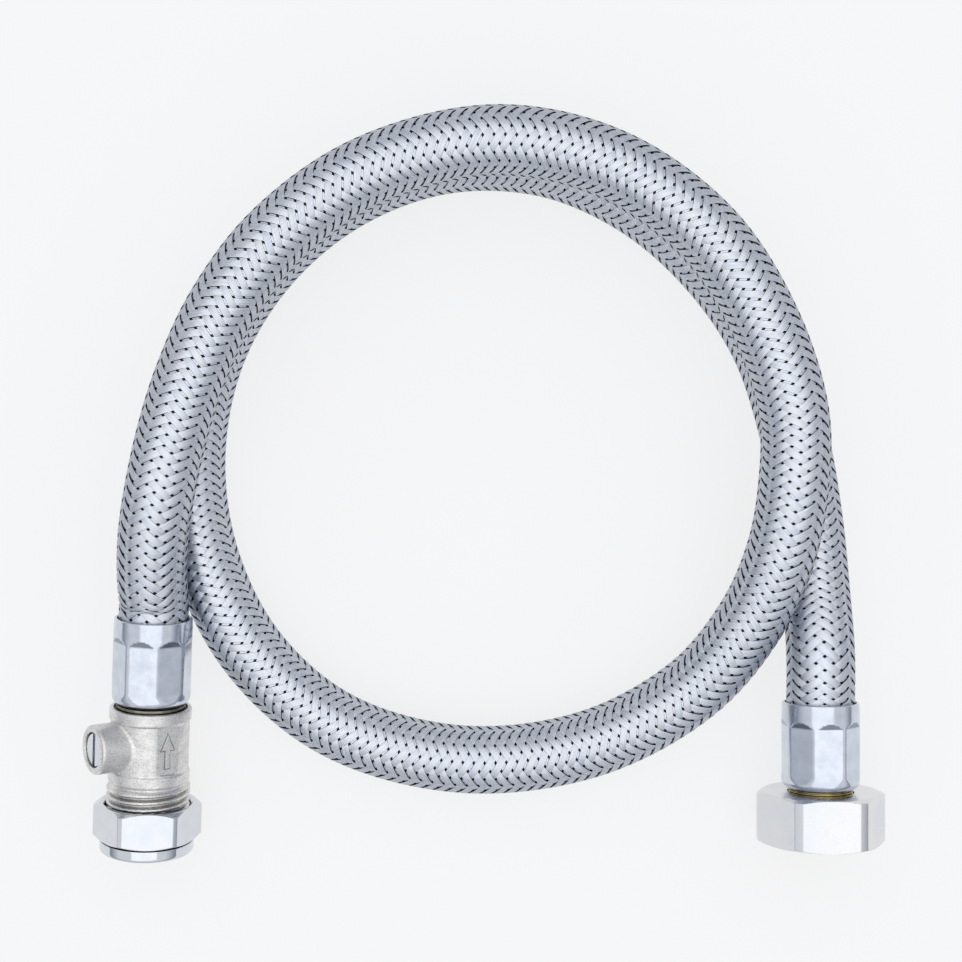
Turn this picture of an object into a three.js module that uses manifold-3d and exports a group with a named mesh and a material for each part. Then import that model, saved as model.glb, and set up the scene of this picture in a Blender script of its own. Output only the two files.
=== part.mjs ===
// Isolating valve flexible connector: a braided hose with a quarter-turn valve crimped to one end
// and a swivel tap nut crimped to the other. It lies coiled in one and a half turns on the plane z = 0.
// Millimetres, +Z up. The origin is under the middle of the two end fittings.

import * as THREE from 'three';
import { mergeVertices } from 'three/addons/utils/BufferGeometryUtils.js';
import Module from 'manifold-3d';

const wasm = await Module();
wasm.setup();

// Clearances between pieces that meet
const SEAT_GAP = 0.3;
const RUNNING_GAP = 0.3;
const O_RING_GAP = 0.25;

// How far a cutting or joining shape runs past the face that it meets
const OVERRUN = 1;

// Hose: rubber liner in a braided sleeve
const HOSE_OUTER_R = 8.65;
const BRAID_WALL = 0.45;
const LINER_WALL = 1.2;
const HOSE_SIDES = 12;
const HOSE_STEPS = 46;
const HOSE_BURIED = 20.3;

// The layout is measured from the middle of the hose loop. This moves it to the part's own origin.
const FITTINGS_MIDDLE = new THREE.Vector3(1.46, -63.84, 0);

// Where each end of the hose leaves its ferrule, and how that end lies
const VALVE_MOUTH = new THREE.Vector3(-81.9, -34.1, 19.2);
const VALVE_DROOP = THREE.MathUtils.degToRad(6.4);
const VALVE_SWING = THREE.MathUtils.degToRad(3.0);
const TAP_MOUTH_X = 85.9;
const TAP_MOUTH_Y = -55.8;
const VALVE_LEAD = 4;
const TAP_LEAD = 12;

// Crimped ferrules, the same at both ends
const FERRULE_LENGTH = 21.8;
const FERRULE_WALL = 0.8;
const FERRULE_END_WALL = 0.9;
const FERRULE_END_CHAMFER = 1.1;
const FERRULE_MOUTH_LIP = 0.35;
const CRIMP_COUNT = 8;
const CRIMP_DEPTH = 0.48;
const CRIMP_START = 5.4;
const CRIMP_END = 19.4;
const CRIMP_END_ROUND = 1.5;

// Hose tails: barbed stems pushed into the liner
const TAIL_WALL = 0.9;
const TAIL_TIP = 0.6;
const TAIL_TIP_CHAMFER = 0.4;
const TAIL_NECK_R = 7.0;
const BARB_COUNT = 4;
const BARB_HEIGHT = 0.3;
const BARB_FIRST = 2.2;
const BARB_RISE = 3.0;
const BARB_LAND = 0.6;
const BARB_PITCH = 4.2;

// Valve body, distances outward from the ferrule mouth
const TAIL_SHOULDER_R = 8.6;
const TAIL_SHOULDER = 0.6;
const TAIL_THREAD_R = 7.6;
const TAIL_SEAL_R = 8.9;
const TAIL_SEAL = 0.6;
const BODY_COLLAR_R = 10.2;
const BODY_COLLAR = 2.9;
const BARREL_R = 9.8;
const LOWER_COLLAR_R = 10.15;
const LOWER_COLLAR = 3.1;
const BARREL = 12.9;
const PIPE_THREAD_R = 10.45;
const PIPE_THREAD = 12.4;
const PORT_R = 4.2;
const PIPE_R = 7.5;
const PIPE_DEPTH = 10.0;
const MOUTH_CONE = 2.7;
const MOUTH_FLARE = 1.35;
const THREAD_END_CHAMFER = 0.9;
const EDGE_ROUND = 0.45;

// Flow arrow on its flat
const PANEL_DEPTH = 0.44;
const PANEL_TURN = THREE.MathUtils.degToRad(38.5);
const ARROW_LENGTH = 8.8;
const ARROW_HEAD = 4.2;
const ARROW_WIDTH = 4.1;
const ARROW_SHAFT = 2.2;
const ARROW_RAISED = 0.4;

// Ball, seats and stem
const BALL_FROM_COLLAR = 9.35;
const BALL_R = 5.75;
const BALL_BORE_R = 3.8;
const CHAMBER_R = 6.3;
const SEAT_THICK = 2.0;
const SEAT_INNER_R = 4.0;
const SEAT_LIP = 0.9;
const BOSS_TURN = THREE.MathUtils.degToRad(38.5);
const BOSS_R = 6.18;
const BOSS_REACH = 15.6;
const BOSS_CHAMFER = 0.9;
const STEM_R = 4.1;
const STEM_FLANGE_R = 5.0;
const STEM_FLANGE = 1.2;
const STEM_FLANGE_FROM = 6.5;
const STEM_SUNK = 0.4;
const TONGUE_WIDTH = 2.2;
const TONGUE_LENGTH = 5.4;
const TONGUE_REACH = 2.2;
const THRUST_WASHER = 0.6;
const STEM_RING_SECTION = 0.8;
const STEM_RING_SPOTS = { stem_o_ring_inner: 10.2, stem_o_ring_outer: 12.2 };
const DRIVER_SLOT_WIDTH = 1.3;
const DRIVER_SLOT_DEPTH = 1.4;

// Compression nut and olive
const NUT_FLATS = 24;
const NUT_CORNER_R = 13.7;
const NUT_ROLL = THREE.MathUtils.degToRad(11.6);
const NUT_START = 47.2;
const NUT_HEX = 9.2;
const NUT_RING_R = 11.8;
const NUT_RING = 3.3;
const NUT_CHAMFER = 0.9;
const NUT_LEAD_IN = 0.5;
const OLIVE_LENGTH = 4.6;
const OLIVE_WALL = 1.3;
const OLIVE_BAND = 0.6;
const OLIVE_EDGE = 0.35;
const OLIVE_GAP = 0.35;

// Swivel nut, tap tail and washer
const SWIVEL_FLATS = 29;
const SWIVEL_CORNER_R = 16.1;
const SWIVEL_LENGTH = 12.9;
const SWIVEL_BACK_WALL = 2.2;
const SWIVEL_THREAD_R = 12.4;
const SWIVEL_CHAMFER = 0.6;
const SWIVEL_LEAD_IN = 0.6;
const TAP_NECK = 0.6;
const TAP_NECK_R = 8.0;
const TAP_FLANGE_R = 11.2;
const TAP_FLANGE = 2.0;
const WASHER_R = 11.7;
const WASHER_BORE_R = 6.5;
const WASHER_THICK = 2.0;

const ROUND = 36;
const SMALL_ROUND = 24;
const BALL_RINGS = 14;
const O_RING_SIDES = 8;
const HEX_SIDES = 6;

// Sizes that follow from the ones above
const linerR = HOSE_OUTER_R - BRAID_WALL - SEAT_GAP;
const linerBoreR = linerR - LINER_WALL;
const ferruleBoreR = HOSE_OUTER_R + SEAT_GAP;
const ferruleR = ferruleBoreR + FERRULE_WALL;
const barbR = linerBoreR * Math.cos(Math.PI / HOSE_SIDES) - O_RING_GAP;
const tailStemR = barbR - BARB_HEIGHT;
const waterwayR = tailStemR - TAIL_WALL;
const tailShoulderAt = FERRULE_LENGTH + SEAT_GAP / 2;
const bodyAt = tailShoulderAt + TAIL_SHOULDER + SEAT_GAP / 2;
const barrelAt = bodyAt + BODY_COLLAR;
const lowerCollarAt = barrelAt + BARREL;
const threadAt = lowerCollarAt + LOWER_COLLAR;
const bodyEnd = threadAt + PIPE_THREAD;
const ballAt = bodyAt + BALL_FROM_COLLAR;
const seatNear = Math.sqrt((BALL_R + RUNNING_GAP) ** 2 - (SEAT_INNER_R + SEAT_LIP) ** 2);
const seatFar = seatNear + SEAT_THICK;
const seatThroat = Math.sqrt((BALL_R + RUNNING_GAP) ** 2 - SEAT_INNER_R ** 2);
const pocketStart = ballAt - seatFar - SEAT_GAP;
const pocketEnd = ballAt + seatFar + SEAT_GAP;
const tailBoreR = TAIL_THREAD_R + SEAT_GAP;
const tailEnd = pocketStart - SEAT_GAP;
const stemBoreR = STEM_R + RUNNING_GAP;
const washerAt = STEM_FLANGE_FROM + STEM_FLANGE + SEAT_GAP;
const stemChamberEnd = washerAt + THRUST_WASHER + SEAT_GAP;
const olivePipeR = PIPE_R + O_RING_GAP / 2;
const nutBoreR = PIPE_THREAD_R + RUNNING_GAP;
const nutEnd = NUT_START + NUT_HEX + NUT_RING;
const tapTailAt = FERRULE_LENGTH + SEAT_GAP / 2;
const swivelAt = tapTailAt + TAP_NECK;
const tapFlangeAt = swivelAt + SWIVEL_BACK_WALL + RUNNING_GAP;
const washerFaceAt = tapFlangeAt + TAP_FLANGE + SEAT_GAP;
const tapRise = SWIVEL_FLATS / 2;

// Outlines and solids
function circle(radius, sides = ROUND) {
  const shape = new THREE.Shape();
  for (let i = 0; i < sides; i += 1) {
    const turn = (2 * Math.PI * i) / sides;
    const x = radius * Math.cos(turn);
    const y = radius * Math.sin(turn);
    if (i === 0) shape.moveTo(x, y);
    else shape.lineTo(x, y);
  }
  shape.closePath();
  return shape;
}

function hexCorner(flats) {
  return flats / 2 / Math.cos(Math.PI / HEX_SIDES);
}

function hexagon(flats) {
  const shape = new THREE.Shape();
  const cornerR = hexCorner(flats);
  for (let i = 0; i < HEX_SIDES; i += 1) {
    const turn = (2 * Math.PI * i) / HEX_SIDES;
    if (i === 0) shape.moveTo(cornerR, 0);
    else shape.lineTo(cornerR * Math.cos(turn), cornerR * Math.sin(turn));
  }
  shape.closePath();
  return shape;
}

// A closed profile of [radius, distance] pairs turned about local Z
function revolve(profile, sides = ROUND) {
  const points = profile.map(([radius, along]) => new THREE.Vector2(radius, along));
  if (THREE.ShapeUtils.area(points) < 0) points.reverse();
  const hollow = points.every((point) => point.x > 0);
  if (hollow) points.push(points[0].clone());
  return weld(new THREE.LatheGeometry(points, sides).rotateX(Math.PI / 2));
}

function prism(shape, start, end) {
  const geometry = new THREE.ExtrudeGeometry(shape, { depth: end - start, bevelEnabled: false });
  return weld(geometry.translate(0, 0, start));
}

function weld(geometry) {
  geometry.deleteAttribute('normal');
  geometry.deleteAttribute('uv');
  const merged = mergeVertices(geometry, 1e-4);
  const kept = [];
  const index = merged.index.array;
  for (let i = 0; i < index.length; i += 3) {
    const [a, b, c] = [index[i], index[i + 1], index[i + 2]];
    if (a !== b && b !== c && c !== a) kept.push(a, b, c);
  }
  merged.setIndex(kept);
  return merged;
}

function toSolid(geometry) {
  const source = geometry.index ? geometry : weld(geometry);
  return new wasm.Manifold(new wasm.Mesh({
    numProp: 3,
    vertProperties: new Float32Array(source.attributes.position.array),
    triVerts: new Uint32Array(source.index.array),
  }));
}

function toGeometry(solid) {
  const mesh = solid.getMesh();
  const geometry = new THREE.BufferGeometry();
  geometry.setAttribute('position', new THREE.BufferAttribute(new Float32Array(mesh.vertProperties), 3));
  geometry.setIndex(new THREE.BufferAttribute(new Uint32Array(mesh.triVerts), 1));
  return geometry;
}

function combine(base, added = [], removed = []) {
  let solid = toSolid(base);
  for (const piece of added) solid = solid.add(toSolid(piece));
  for (const piece of removed) solid = solid.subtract(toSolid(piece));
  return toGeometry(solid);
}

// Turns a piece built along local Z so that it points out along the stem
function alongStem(geometry) {
  const outward = new THREE.Vector3(-Math.cos(BOSS_TURN), Math.sin(BOSS_TURN), 0);
  const pipeway = new THREE.Vector3(0, 0, 1);
  const across = new THREE.Vector3().crossVectors(outward, pipeway);
  const turn = new THREE.Matrix4().makeBasis(pipeway, across, outward);
  return geometry.applyMatrix4(turn).translate(0, 0, ballAt);
}

// Materials
function metal(colour, roughness) {
  return new THREE.MeshStandardMaterial({ color: colour, roughness, metalness: 1 });
}

function soft(colour, roughness) {
  return new THREE.MeshStandardMaterial({ color: colour, roughness, metalness: 0 });
}

const satinNickel = metal(0xb9b6ae, 0.42);
const brightChrome = metal(0xd5d9e0, 0.12);
const crimpedSteel = metal(0xc3c9d6, 0.22);
const satinSteel = metal(0xc9ccd2, 0.35);
const yellowBrass = metal(0xc9a45a, 0.3);
const polishedBall = metal(0xdadcdf, 0.08);
const braidSteel = metal(0xaab2c0, 0.35);
const blackRubber = soft(0x15161a, 0.7);
const whitePtfe = soft(0xf0efe9, 0.5);
const redFibre = soft(0x7c2f26, 0.8);

function piece(name, geometry, material) {
  const mesh = new THREE.Mesh(geometry, material);
  mesh.name = name;
  return mesh;
}

// Crimped ferrule: a cup over the hose end, pressed in by eight jaws with round ends
function crimpDent(turn) {
  const crimpR = ferruleR - CRIMP_DEPTH;
  const halfWidth = Math.sqrt(ferruleR ** 2 - crimpR ** 2);
  const outline = new THREE.Shape();
  outline.moveTo(-halfWidth, CRIMP_START + CRIMP_END_ROUND);
  outline.quadraticCurveTo(-halfWidth, CRIMP_START, 0, CRIMP_START);
  outline.quadraticCurveTo(halfWidth, CRIMP_START, halfWidth, CRIMP_START + CRIMP_END_ROUND);
  outline.lineTo(halfWidth, CRIMP_END - CRIMP_END_ROUND);
  outline.quadraticCurveTo(halfWidth, CRIMP_END, 0, CRIMP_END);
  outline.quadraticCurveTo(-halfWidth, CRIMP_END, -halfWidth, CRIMP_END - CRIMP_END_ROUND);
  outline.closePath();
  const dent = new THREE.ExtrudeGeometry(outline, { depth: OVERRUN, bevelEnabled: false, curveSegments: 4 });
  dent.rotateX(Math.PI / 2).translate(0, crimpR + OVERRUN, 0);
  return weld(dent).rotateZ(turn);
}

function ferrule() {
  const innerEnd = FERRULE_LENGTH - FERRULE_END_WALL;
  const neckHoleR = TAIL_NECK_R + SEAT_GAP;
  const cup = revolve([
    [ferruleBoreR, 0],
    [ferruleR - FERRULE_MOUTH_LIP, 0],
    [ferruleR, FERRULE_MOUTH_LIP],
    [ferruleR, FERRULE_LENGTH - FERRULE_END_CHAMFER],
    [ferruleR - FERRULE_END_CHAMFER, FERRULE_LENGTH],
    [neckHoleR, FERRULE_LENGTH],
    [neckHoleR, innerEnd],
    [ferruleBoreR, innerEnd],
  ]);
  const dents = [];
  for (let i = 0; i < CRIMP_COUNT; i += 1) {
    dents.push(crimpDent((i * 2 * Math.PI) / CRIMP_COUNT));
  }
  return combine(cup, [], dents);
}

// Barbed stem inside the hose, up to the neck that the ferrule grips
function stemProfile() {
  const profile = [[waterwayR, TAIL_TIP], [tailStemR - TAIL_TIP_CHAMFER, TAIL_TIP]];
  for (let i = 0; i < BARB_COUNT; i += 1) {
    const start = BARB_FIRST + i * BARB_PITCH;
    profile.push([tailStemR, start]);
    profile.push([barbR, start + BARB_RISE]);
    profile.push([barbR, start + BARB_RISE + BARB_LAND]);
    profile.push([tailStemR, start + BARB_RISE + BARB_LAND]);
  }
  const neckStart = FERRULE_LENGTH - FERRULE_END_WALL - SEAT_GAP;
  profile.push([tailStemR, neckStart]);
  profile.push([TAIL_NECK_R, neckStart]);
  return profile;
}

// Valve tail: screws into the body and holds the ball pack in place
function valveTail() {
  const profile = stemProfile();
  profile.push([TAIL_NECK_R, tailShoulderAt]);
  profile.push([TAIL_SHOULDER_R, tailShoulderAt]);
  profile.push([TAIL_SHOULDER_R, tailShoulderAt + TAIL_SHOULDER]);
  profile.push([TAIL_THREAD_R, tailShoulderAt + TAIL_SHOULDER]);
  profile.push([TAIL_THREAD_R, tailEnd]);
  profile.push([waterwayR, tailEnd]);
  return revolve(profile, SMALL_ROUND);
}

function valveTailSeal() {
  const start = tailShoulderAt + TAIL_SHOULDER + SEAT_GAP;
  return revolve([
    [TAIL_THREAD_R + SEAT_GAP, start],
    [TAIL_SEAL_R, start],
    [TAIL_SEAL_R, start + TAIL_SEAL],
    [TAIL_THREAD_R + SEAT_GAP, start + TAIL_SEAL],
  ]);
}

// Valve body: turned barrel with two collars, a pipe thread, the stem boss and the arrow flat
function bodyOutside() {
  return revolve([
    [0, bodyAt],
    [BODY_COLLAR_R - EDGE_ROUND, bodyAt],
    [BODY_COLLAR_R, bodyAt + EDGE_ROUND],
    [BODY_COLLAR_R, barrelAt - EDGE_ROUND],
    [BARREL_R, barrelAt],
    [BARREL_R, lowerCollarAt - EDGE_ROUND],
    [LOWER_COLLAR_R, lowerCollarAt],
    [LOWER_COLLAR_R, threadAt - EDGE_ROUND],
    [BARREL_R, threadAt],
    [PIPE_THREAD_R, threadAt + EDGE_ROUND],
    [PIPE_THREAD_R, bodyEnd - THREAD_END_CHAMFER],
    [PIPE_THREAD_R - THREAD_END_CHAMFER, bodyEnd],
    [0, bodyEnd],
  ]);
}

function bodyWaterway() {
  const sealR = TAIL_SEAL_R + SEAT_GAP;
  const sealEnd = bodyAt + TAIL_SEAL + SEAT_GAP;
  const coneR = PIPE_R + SEAT_GAP + MOUTH_FLARE;
  return revolve([
    [0, bodyAt - OVERRUN],
    [sealR, bodyAt - OVERRUN],
    [sealR, sealEnd],
    [tailBoreR, sealEnd],
    [tailBoreR, pocketStart],
    [CHAMBER_R, pocketStart],
    [CHAMBER_R, pocketEnd],
    [PORT_R, pocketEnd],
    [PORT_R, bodyEnd - PIPE_DEPTH],
    [PIPE_R + SEAT_GAP, bodyEnd - PIPE_DEPTH],
    [PIPE_R + SEAT_GAP, bodyEnd - MOUTH_CONE],
    [coneR, bodyEnd],
    [coneR, bodyEnd + OVERRUN],
    [0, bodyEnd + OVERRUN],
  ]);
}

function bossOutside() {
  const boss = revolve([
    [0, 0],
    [BOSS_R, 0],
    [BOSS_R, BOSS_REACH - BOSS_CHAMFER],
    [BOSS_R - BOSS_CHAMFER, BOSS_REACH],
    [0, BOSS_REACH],
  ]);
  return alongStem(boss);
}

function stemWay() {
  const way = revolve([
    [0, 0],
    [STEM_FLANGE_R + RUNNING_GAP, 0],
    [STEM_FLANGE_R + RUNNING_GAP, stemChamberEnd],
    [stemBoreR, stemChamberEnd],
    [stemBoreR, BOSS_REACH + OVERRUN],
    [0, BOSS_REACH + OVERRUN],
  ], SMALL_ROUND);
  return alongStem(way);
}

// The arrow points back toward the hose, the way the water runs
function flowArrow(panelR) {
  const middle = (barrelAt + lowerCollarAt) / 2;
  const tip = middle - ARROW_LENGTH / 2;
  const outline = new THREE.Shape();
  outline.moveTo(0, tip);
  outline.lineTo(ARROW_WIDTH / 2, tip + ARROW_HEAD);
  outline.lineTo(ARROW_SHAFT / 2, tip + ARROW_HEAD);
  outline.lineTo(ARROW_SHAFT / 2, tip + ARROW_LENGTH);
  outline.lineTo(-ARROW_SHAFT / 2, tip + ARROW_LENGTH);
  outline.lineTo(-ARROW_SHAFT / 2, tip + ARROW_HEAD);
  outline.lineTo(-ARROW_WIDTH / 2, tip + ARROW_HEAD);
  outline.closePath();
  const arrow = new THREE.ExtrudeGeometry(outline, { depth: ARROW_RAISED + OVERRUN, bevelEnabled: false });
  arrow.rotateX(Math.PI / 2).translate(0, panelR + ARROW_RAISED, 0);
  return weld(arrow).rotateZ(-PANEL_TURN);
}

function arrowFlat(panelR) {
  const cutHigh = PANEL_DEPTH + OVERRUN;
  const block = new THREE.BoxGeometry(2 * BARREL_R, cutHigh, BARREL - 2 * EDGE_ROUND);
  block.translate(0, panelR + cutHigh / 2, (barrelAt + lowerCollarAt) / 2);
  return weld(block).rotateZ(-PANEL_TURN);
}

function valveBody() {
  const panelR = BARREL_R - PANEL_DEPTH;
  const outside = combine(bodyOutside(), [], [arrowFlat(panelR)]);
  return combine(outside, [flowArrow(panelR), bossOutside()], [bodyWaterway(), stemWay()]);
}

// Ball with its waterway and the slot that the stem drives
function ball() {
  const lean = Math.asin(BALL_BORE_R / BALL_R);
  const profile = [];
  for (let i = 0; i <= BALL_RINGS; i += 1) {
    const angle = lean + ((Math.PI - 2 * lean) * i) / BALL_RINGS;
    profile.push([BALL_R * Math.sin(angle), ballAt - BALL_R * Math.cos(angle)]);
  }
  const slot = new THREE.BoxGeometry(2 * BALL_R, TONGUE_WIDTH + 2 * RUNNING_GAP, BALL_R);
  slot.translate(0, 0, STEM_FLANGE_FROM - TONGUE_REACH - SEAT_GAP + BALL_R / 2);
  return combine(revolve(profile, SMALL_ROUND), [], [alongStem(weld(slot))]);
}

function ballSeat(side) {
  return revolve([
    [SEAT_INNER_R + SEAT_LIP, ballAt + side * seatNear],
    [CHAMBER_R - SEAT_GAP, ballAt + side * seatNear],
    [CHAMBER_R - SEAT_GAP, ballAt + side * seatFar],
    [SEAT_INNER_R, ballAt + side * seatFar],
    [SEAT_INNER_R, ballAt + side * seatThroat],
  ], SMALL_ROUND);
}

// Stem: fitted from inside, so its flange can't leave through the boss
function ringGroove(at) {
  const halfWidth = STEM_RING_SECTION / 2 + SEAT_GAP;
  const grooveR = STEM_R - STEM_RING_SECTION - O_RING_GAP / 2;
  return [
    [STEM_R, at - halfWidth],
    [grooveR, at - halfWidth],
    [grooveR, at + halfWidth],
    [STEM_R, at + halfWidth],
  ];
}

function stem() {
  const stemEnd = BOSS_REACH - STEM_SUNK;
  const turned = revolve([
    [0, STEM_FLANGE_FROM],
    [STEM_FLANGE_R, STEM_FLANGE_FROM],
    [STEM_FLANGE_R, STEM_FLANGE_FROM + STEM_FLANGE],
    [STEM_R, STEM_FLANGE_FROM + STEM_FLANGE],
    ...ringGroove(STEM_RING_SPOTS.stem_o_ring_inner),
    ...ringGroove(STEM_RING_SPOTS.stem_o_ring_outer),
    [STEM_R, stemEnd],
    [0, stemEnd],
  ], SMALL_ROUND);
  const tongue = new THREE.BoxGeometry(TONGUE_LENGTH, TONGUE_WIDTH, TONGUE_REACH + OVERRUN);
  tongue.translate(0, 0, STEM_FLANGE_FROM - (TONGUE_REACH - OVERRUN) / 2);
  const slot = new THREE.BoxGeometry(3 * STEM_R, DRIVER_SLOT_WIDTH, 2 * DRIVER_SLOT_DEPTH);
  slot.translate(0, 0, stemEnd);
  return alongStem(combine(turned, [weld(tongue)], [weld(slot)]));
}

function stemRing(at) {
  const ringR = stemBoreR - O_RING_GAP - STEM_RING_SECTION / 2;
  const ring = new THREE.TorusGeometry(ringR, STEM_RING_SECTION / 2, O_RING_SIDES, SMALL_ROUND);
  return alongStem(weld(ring.translate(0, 0, at)));
}

function stemThrustWasher() {
  const washer = revolve([
    [stemBoreR, washerAt],
    [STEM_FLANGE_R, washerAt],
    [STEM_FLANGE_R, washerAt + THRUST_WASHER],
    [stemBoreR, washerAt + THRUST_WASHER],
  ], SMALL_ROUND);
  return alongStem(washer);
}

// A hexagonal nut: both ends turned to a cone, one flat facing up before it is rolled
function hexNut(flats, cornerR, start, end, chamfer) {
  const turned = revolve([
    [0, start],
    [flats / 2, start],
    [cornerR, start + chamfer],
    [cornerR, end - chamfer],
    [flats / 2, end],
    [0, end],
  ], 2 * ROUND);
  const hex = prism(hexagon(flats), start - OVERRUN, end + OVERRUN);
  return toGeometry(toSolid(turned).intersect(toSolid(hex)));
}

function compressionNut() {
  const hexEnd = NUT_START + NUT_HEX;
  const hex = hexNut(NUT_FLATS, NUT_CORNER_R, NUT_START, hexEnd, NUT_CHAMFER);
  const ring = revolve([
    [0, hexEnd - OVERRUN],
    [NUT_RING_R, hexEnd - OVERRUN],
    [NUT_RING_R, nutEnd - EDGE_ROUND],
    [NUT_RING_R - EDGE_ROUND, nutEnd],
    [0, nutEnd],
  ]);
  const oliveEnd = oliveStart() + OLIVE_LENGTH;
  const coneStart = oliveEnd - (OLIVE_LENGTH - OLIVE_BAND) / 2;
  const bandR = olivePipeR + OLIVE_WALL + OLIVE_GAP;
  const coneDepth = bandR - PIPE_R - SEAT_GAP;
  const hollow = revolve([
    [0, NUT_START - OVERRUN],
    [nutBoreR + NUT_LEAD_IN, NUT_START - OVERRUN],
    [nutBoreR + NUT_LEAD_IN, NUT_START],
    [nutBoreR, NUT_START + NUT_LEAD_IN],
    [nutBoreR, coneStart],
    [bandR, coneStart],
    [PIPE_R + SEAT_GAP, coneStart + coneDepth * 2],
    [PIPE_R + SEAT_GAP, nutEnd + OVERRUN],
    [0, nutEnd + OVERRUN],
  ]);
  return combine(hex, [ring], [hollow]).rotateZ(-NUT_ROLL);
}

// Olive: a double-coned ring that the nut will crush onto the pipe
function oliveStart() {
  return bodyEnd - (OLIVE_LENGTH - OLIVE_BAND) / 2 + SEAT_GAP * 2;
}

function olive() {
  const start = oliveStart();
  const end = start + OLIVE_LENGTH;
  const slope = (OLIVE_LENGTH - OLIVE_BAND) / 2;
  return revolve([
    [olivePipeR, start],
    [olivePipeR + OLIVE_EDGE, start],
    [olivePipeR + OLIVE_WALL, start + slope],
    [olivePipeR + OLIVE_WALL, end - slope],
    [olivePipeR + OLIVE_EDGE, end],
    [olivePipeR, end],
  ]);
}

// Tap tail: its flange turns inside the swivel nut and backs the washer
function tapTail() {
  const profile = stemProfile();
  profile.push([TAIL_NECK_R, tapTailAt]);
  profile.push([TAP_NECK_R, tapTailAt]);
  profile.push([TAP_NECK_R, tapFlangeAt]);
  profile.push([TAP_FLANGE_R, tapFlangeAt]);
  profile.push([TAP_FLANGE_R, tapFlangeAt + TAP_FLANGE]);
  profile.push([waterwayR, tapFlangeAt + TAP_FLANGE]);
  return revolve(profile, SMALL_ROUND);
}

function tapWasher() {
  return revolve([
    [WASHER_BORE_R, washerFaceAt],
    [WASHER_R, washerFaceAt],
    [WASHER_R, washerFaceAt + WASHER_THICK],
    [WASHER_BORE_R, washerFaceAt + WASHER_THICK],
  ]);
}

function swivelNut() {
  const end = swivelAt + SWIVEL_LENGTH;
  const hollow = revolve([
    [0, swivelAt - OVERRUN],
    [TAP_NECK_R + RUNNING_GAP, swivelAt - OVERRUN],
    [TAP_NECK_R + RUNNING_GAP, swivelAt + SWIVEL_BACK_WALL],
    [SWIVEL_THREAD_R, swivelAt + SWIVEL_BACK_WALL],
    [SWIVEL_THREAD_R, end - SWIVEL_LEAD_IN],
    [SWIVEL_THREAD_R + SWIVEL_LEAD_IN, end],
    [SWIVEL_THREAD_R + SWIVEL_LEAD_IN, end + OVERRUN],
    [0, end + OVERRUN],
  ]);
  return combine(hexNut(SWIVEL_FLATS, SWIVEL_CORNER_R, swivelAt, end, SWIVEL_CHAMFER), [], [hollow]);
}

// The two fittings, each built outward along local Z from its ferrule mouth, local Y up
const valveEnd = new THREE.Group();
valveEnd.position.copy(VALVE_MOUTH);
valveEnd.rotation.set(Math.PI / 2 + VALVE_DROOP, 0, -VALVE_SWING, 'ZYX');
valveEnd.add(piece('valve_ferrule', ferrule(), crimpedSteel));
valveEnd.add(piece('valve_tail', valveTail(), yellowBrass));
valveEnd.add(piece('valve_tail_seal', valveTailSeal(), blackRubber));
valveEnd.add(piece('valve_body', valveBody(), satinNickel));
valveEnd.add(piece('ball', ball(), polishedBall));
valveEnd.add(piece('ball_seat_inlet', ballSeat(1), whitePtfe));
valveEnd.add(piece('ball_seat_outlet', ballSeat(-1), whitePtfe));
valveEnd.add(piece('stem', stem(), satinNickel));
for (const [name, at] of Object.entries(STEM_RING_SPOTS)) {
  valveEnd.add(piece(name, stemRing(at), blackRubber));
}
valveEnd.add(piece('stem_thrust_washer', stemThrustWasher(), whitePtfe));
valveEnd.add(piece('compression_nut', compressionNut(), brightChrome));
valveEnd.add(piece('olive', olive(), yellowBrass));

const tapEnd = new THREE.Group();
tapEnd.position.set(TAP_MOUTH_X, TAP_MOUTH_Y, tapRise);
tapEnd.rotation.x = Math.PI / 2;
tapEnd.add(piece('tap_ferrule', ferrule(), crimpedSteel));
tapEnd.add(piece('tap_tail', tapTail(), yellowBrass));
tapEnd.add(piece('tap_washer', tapWasher(), redFibre));
tapEnd.add(piece('swivel_nut', swivelNut(), satinSteel));

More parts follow.
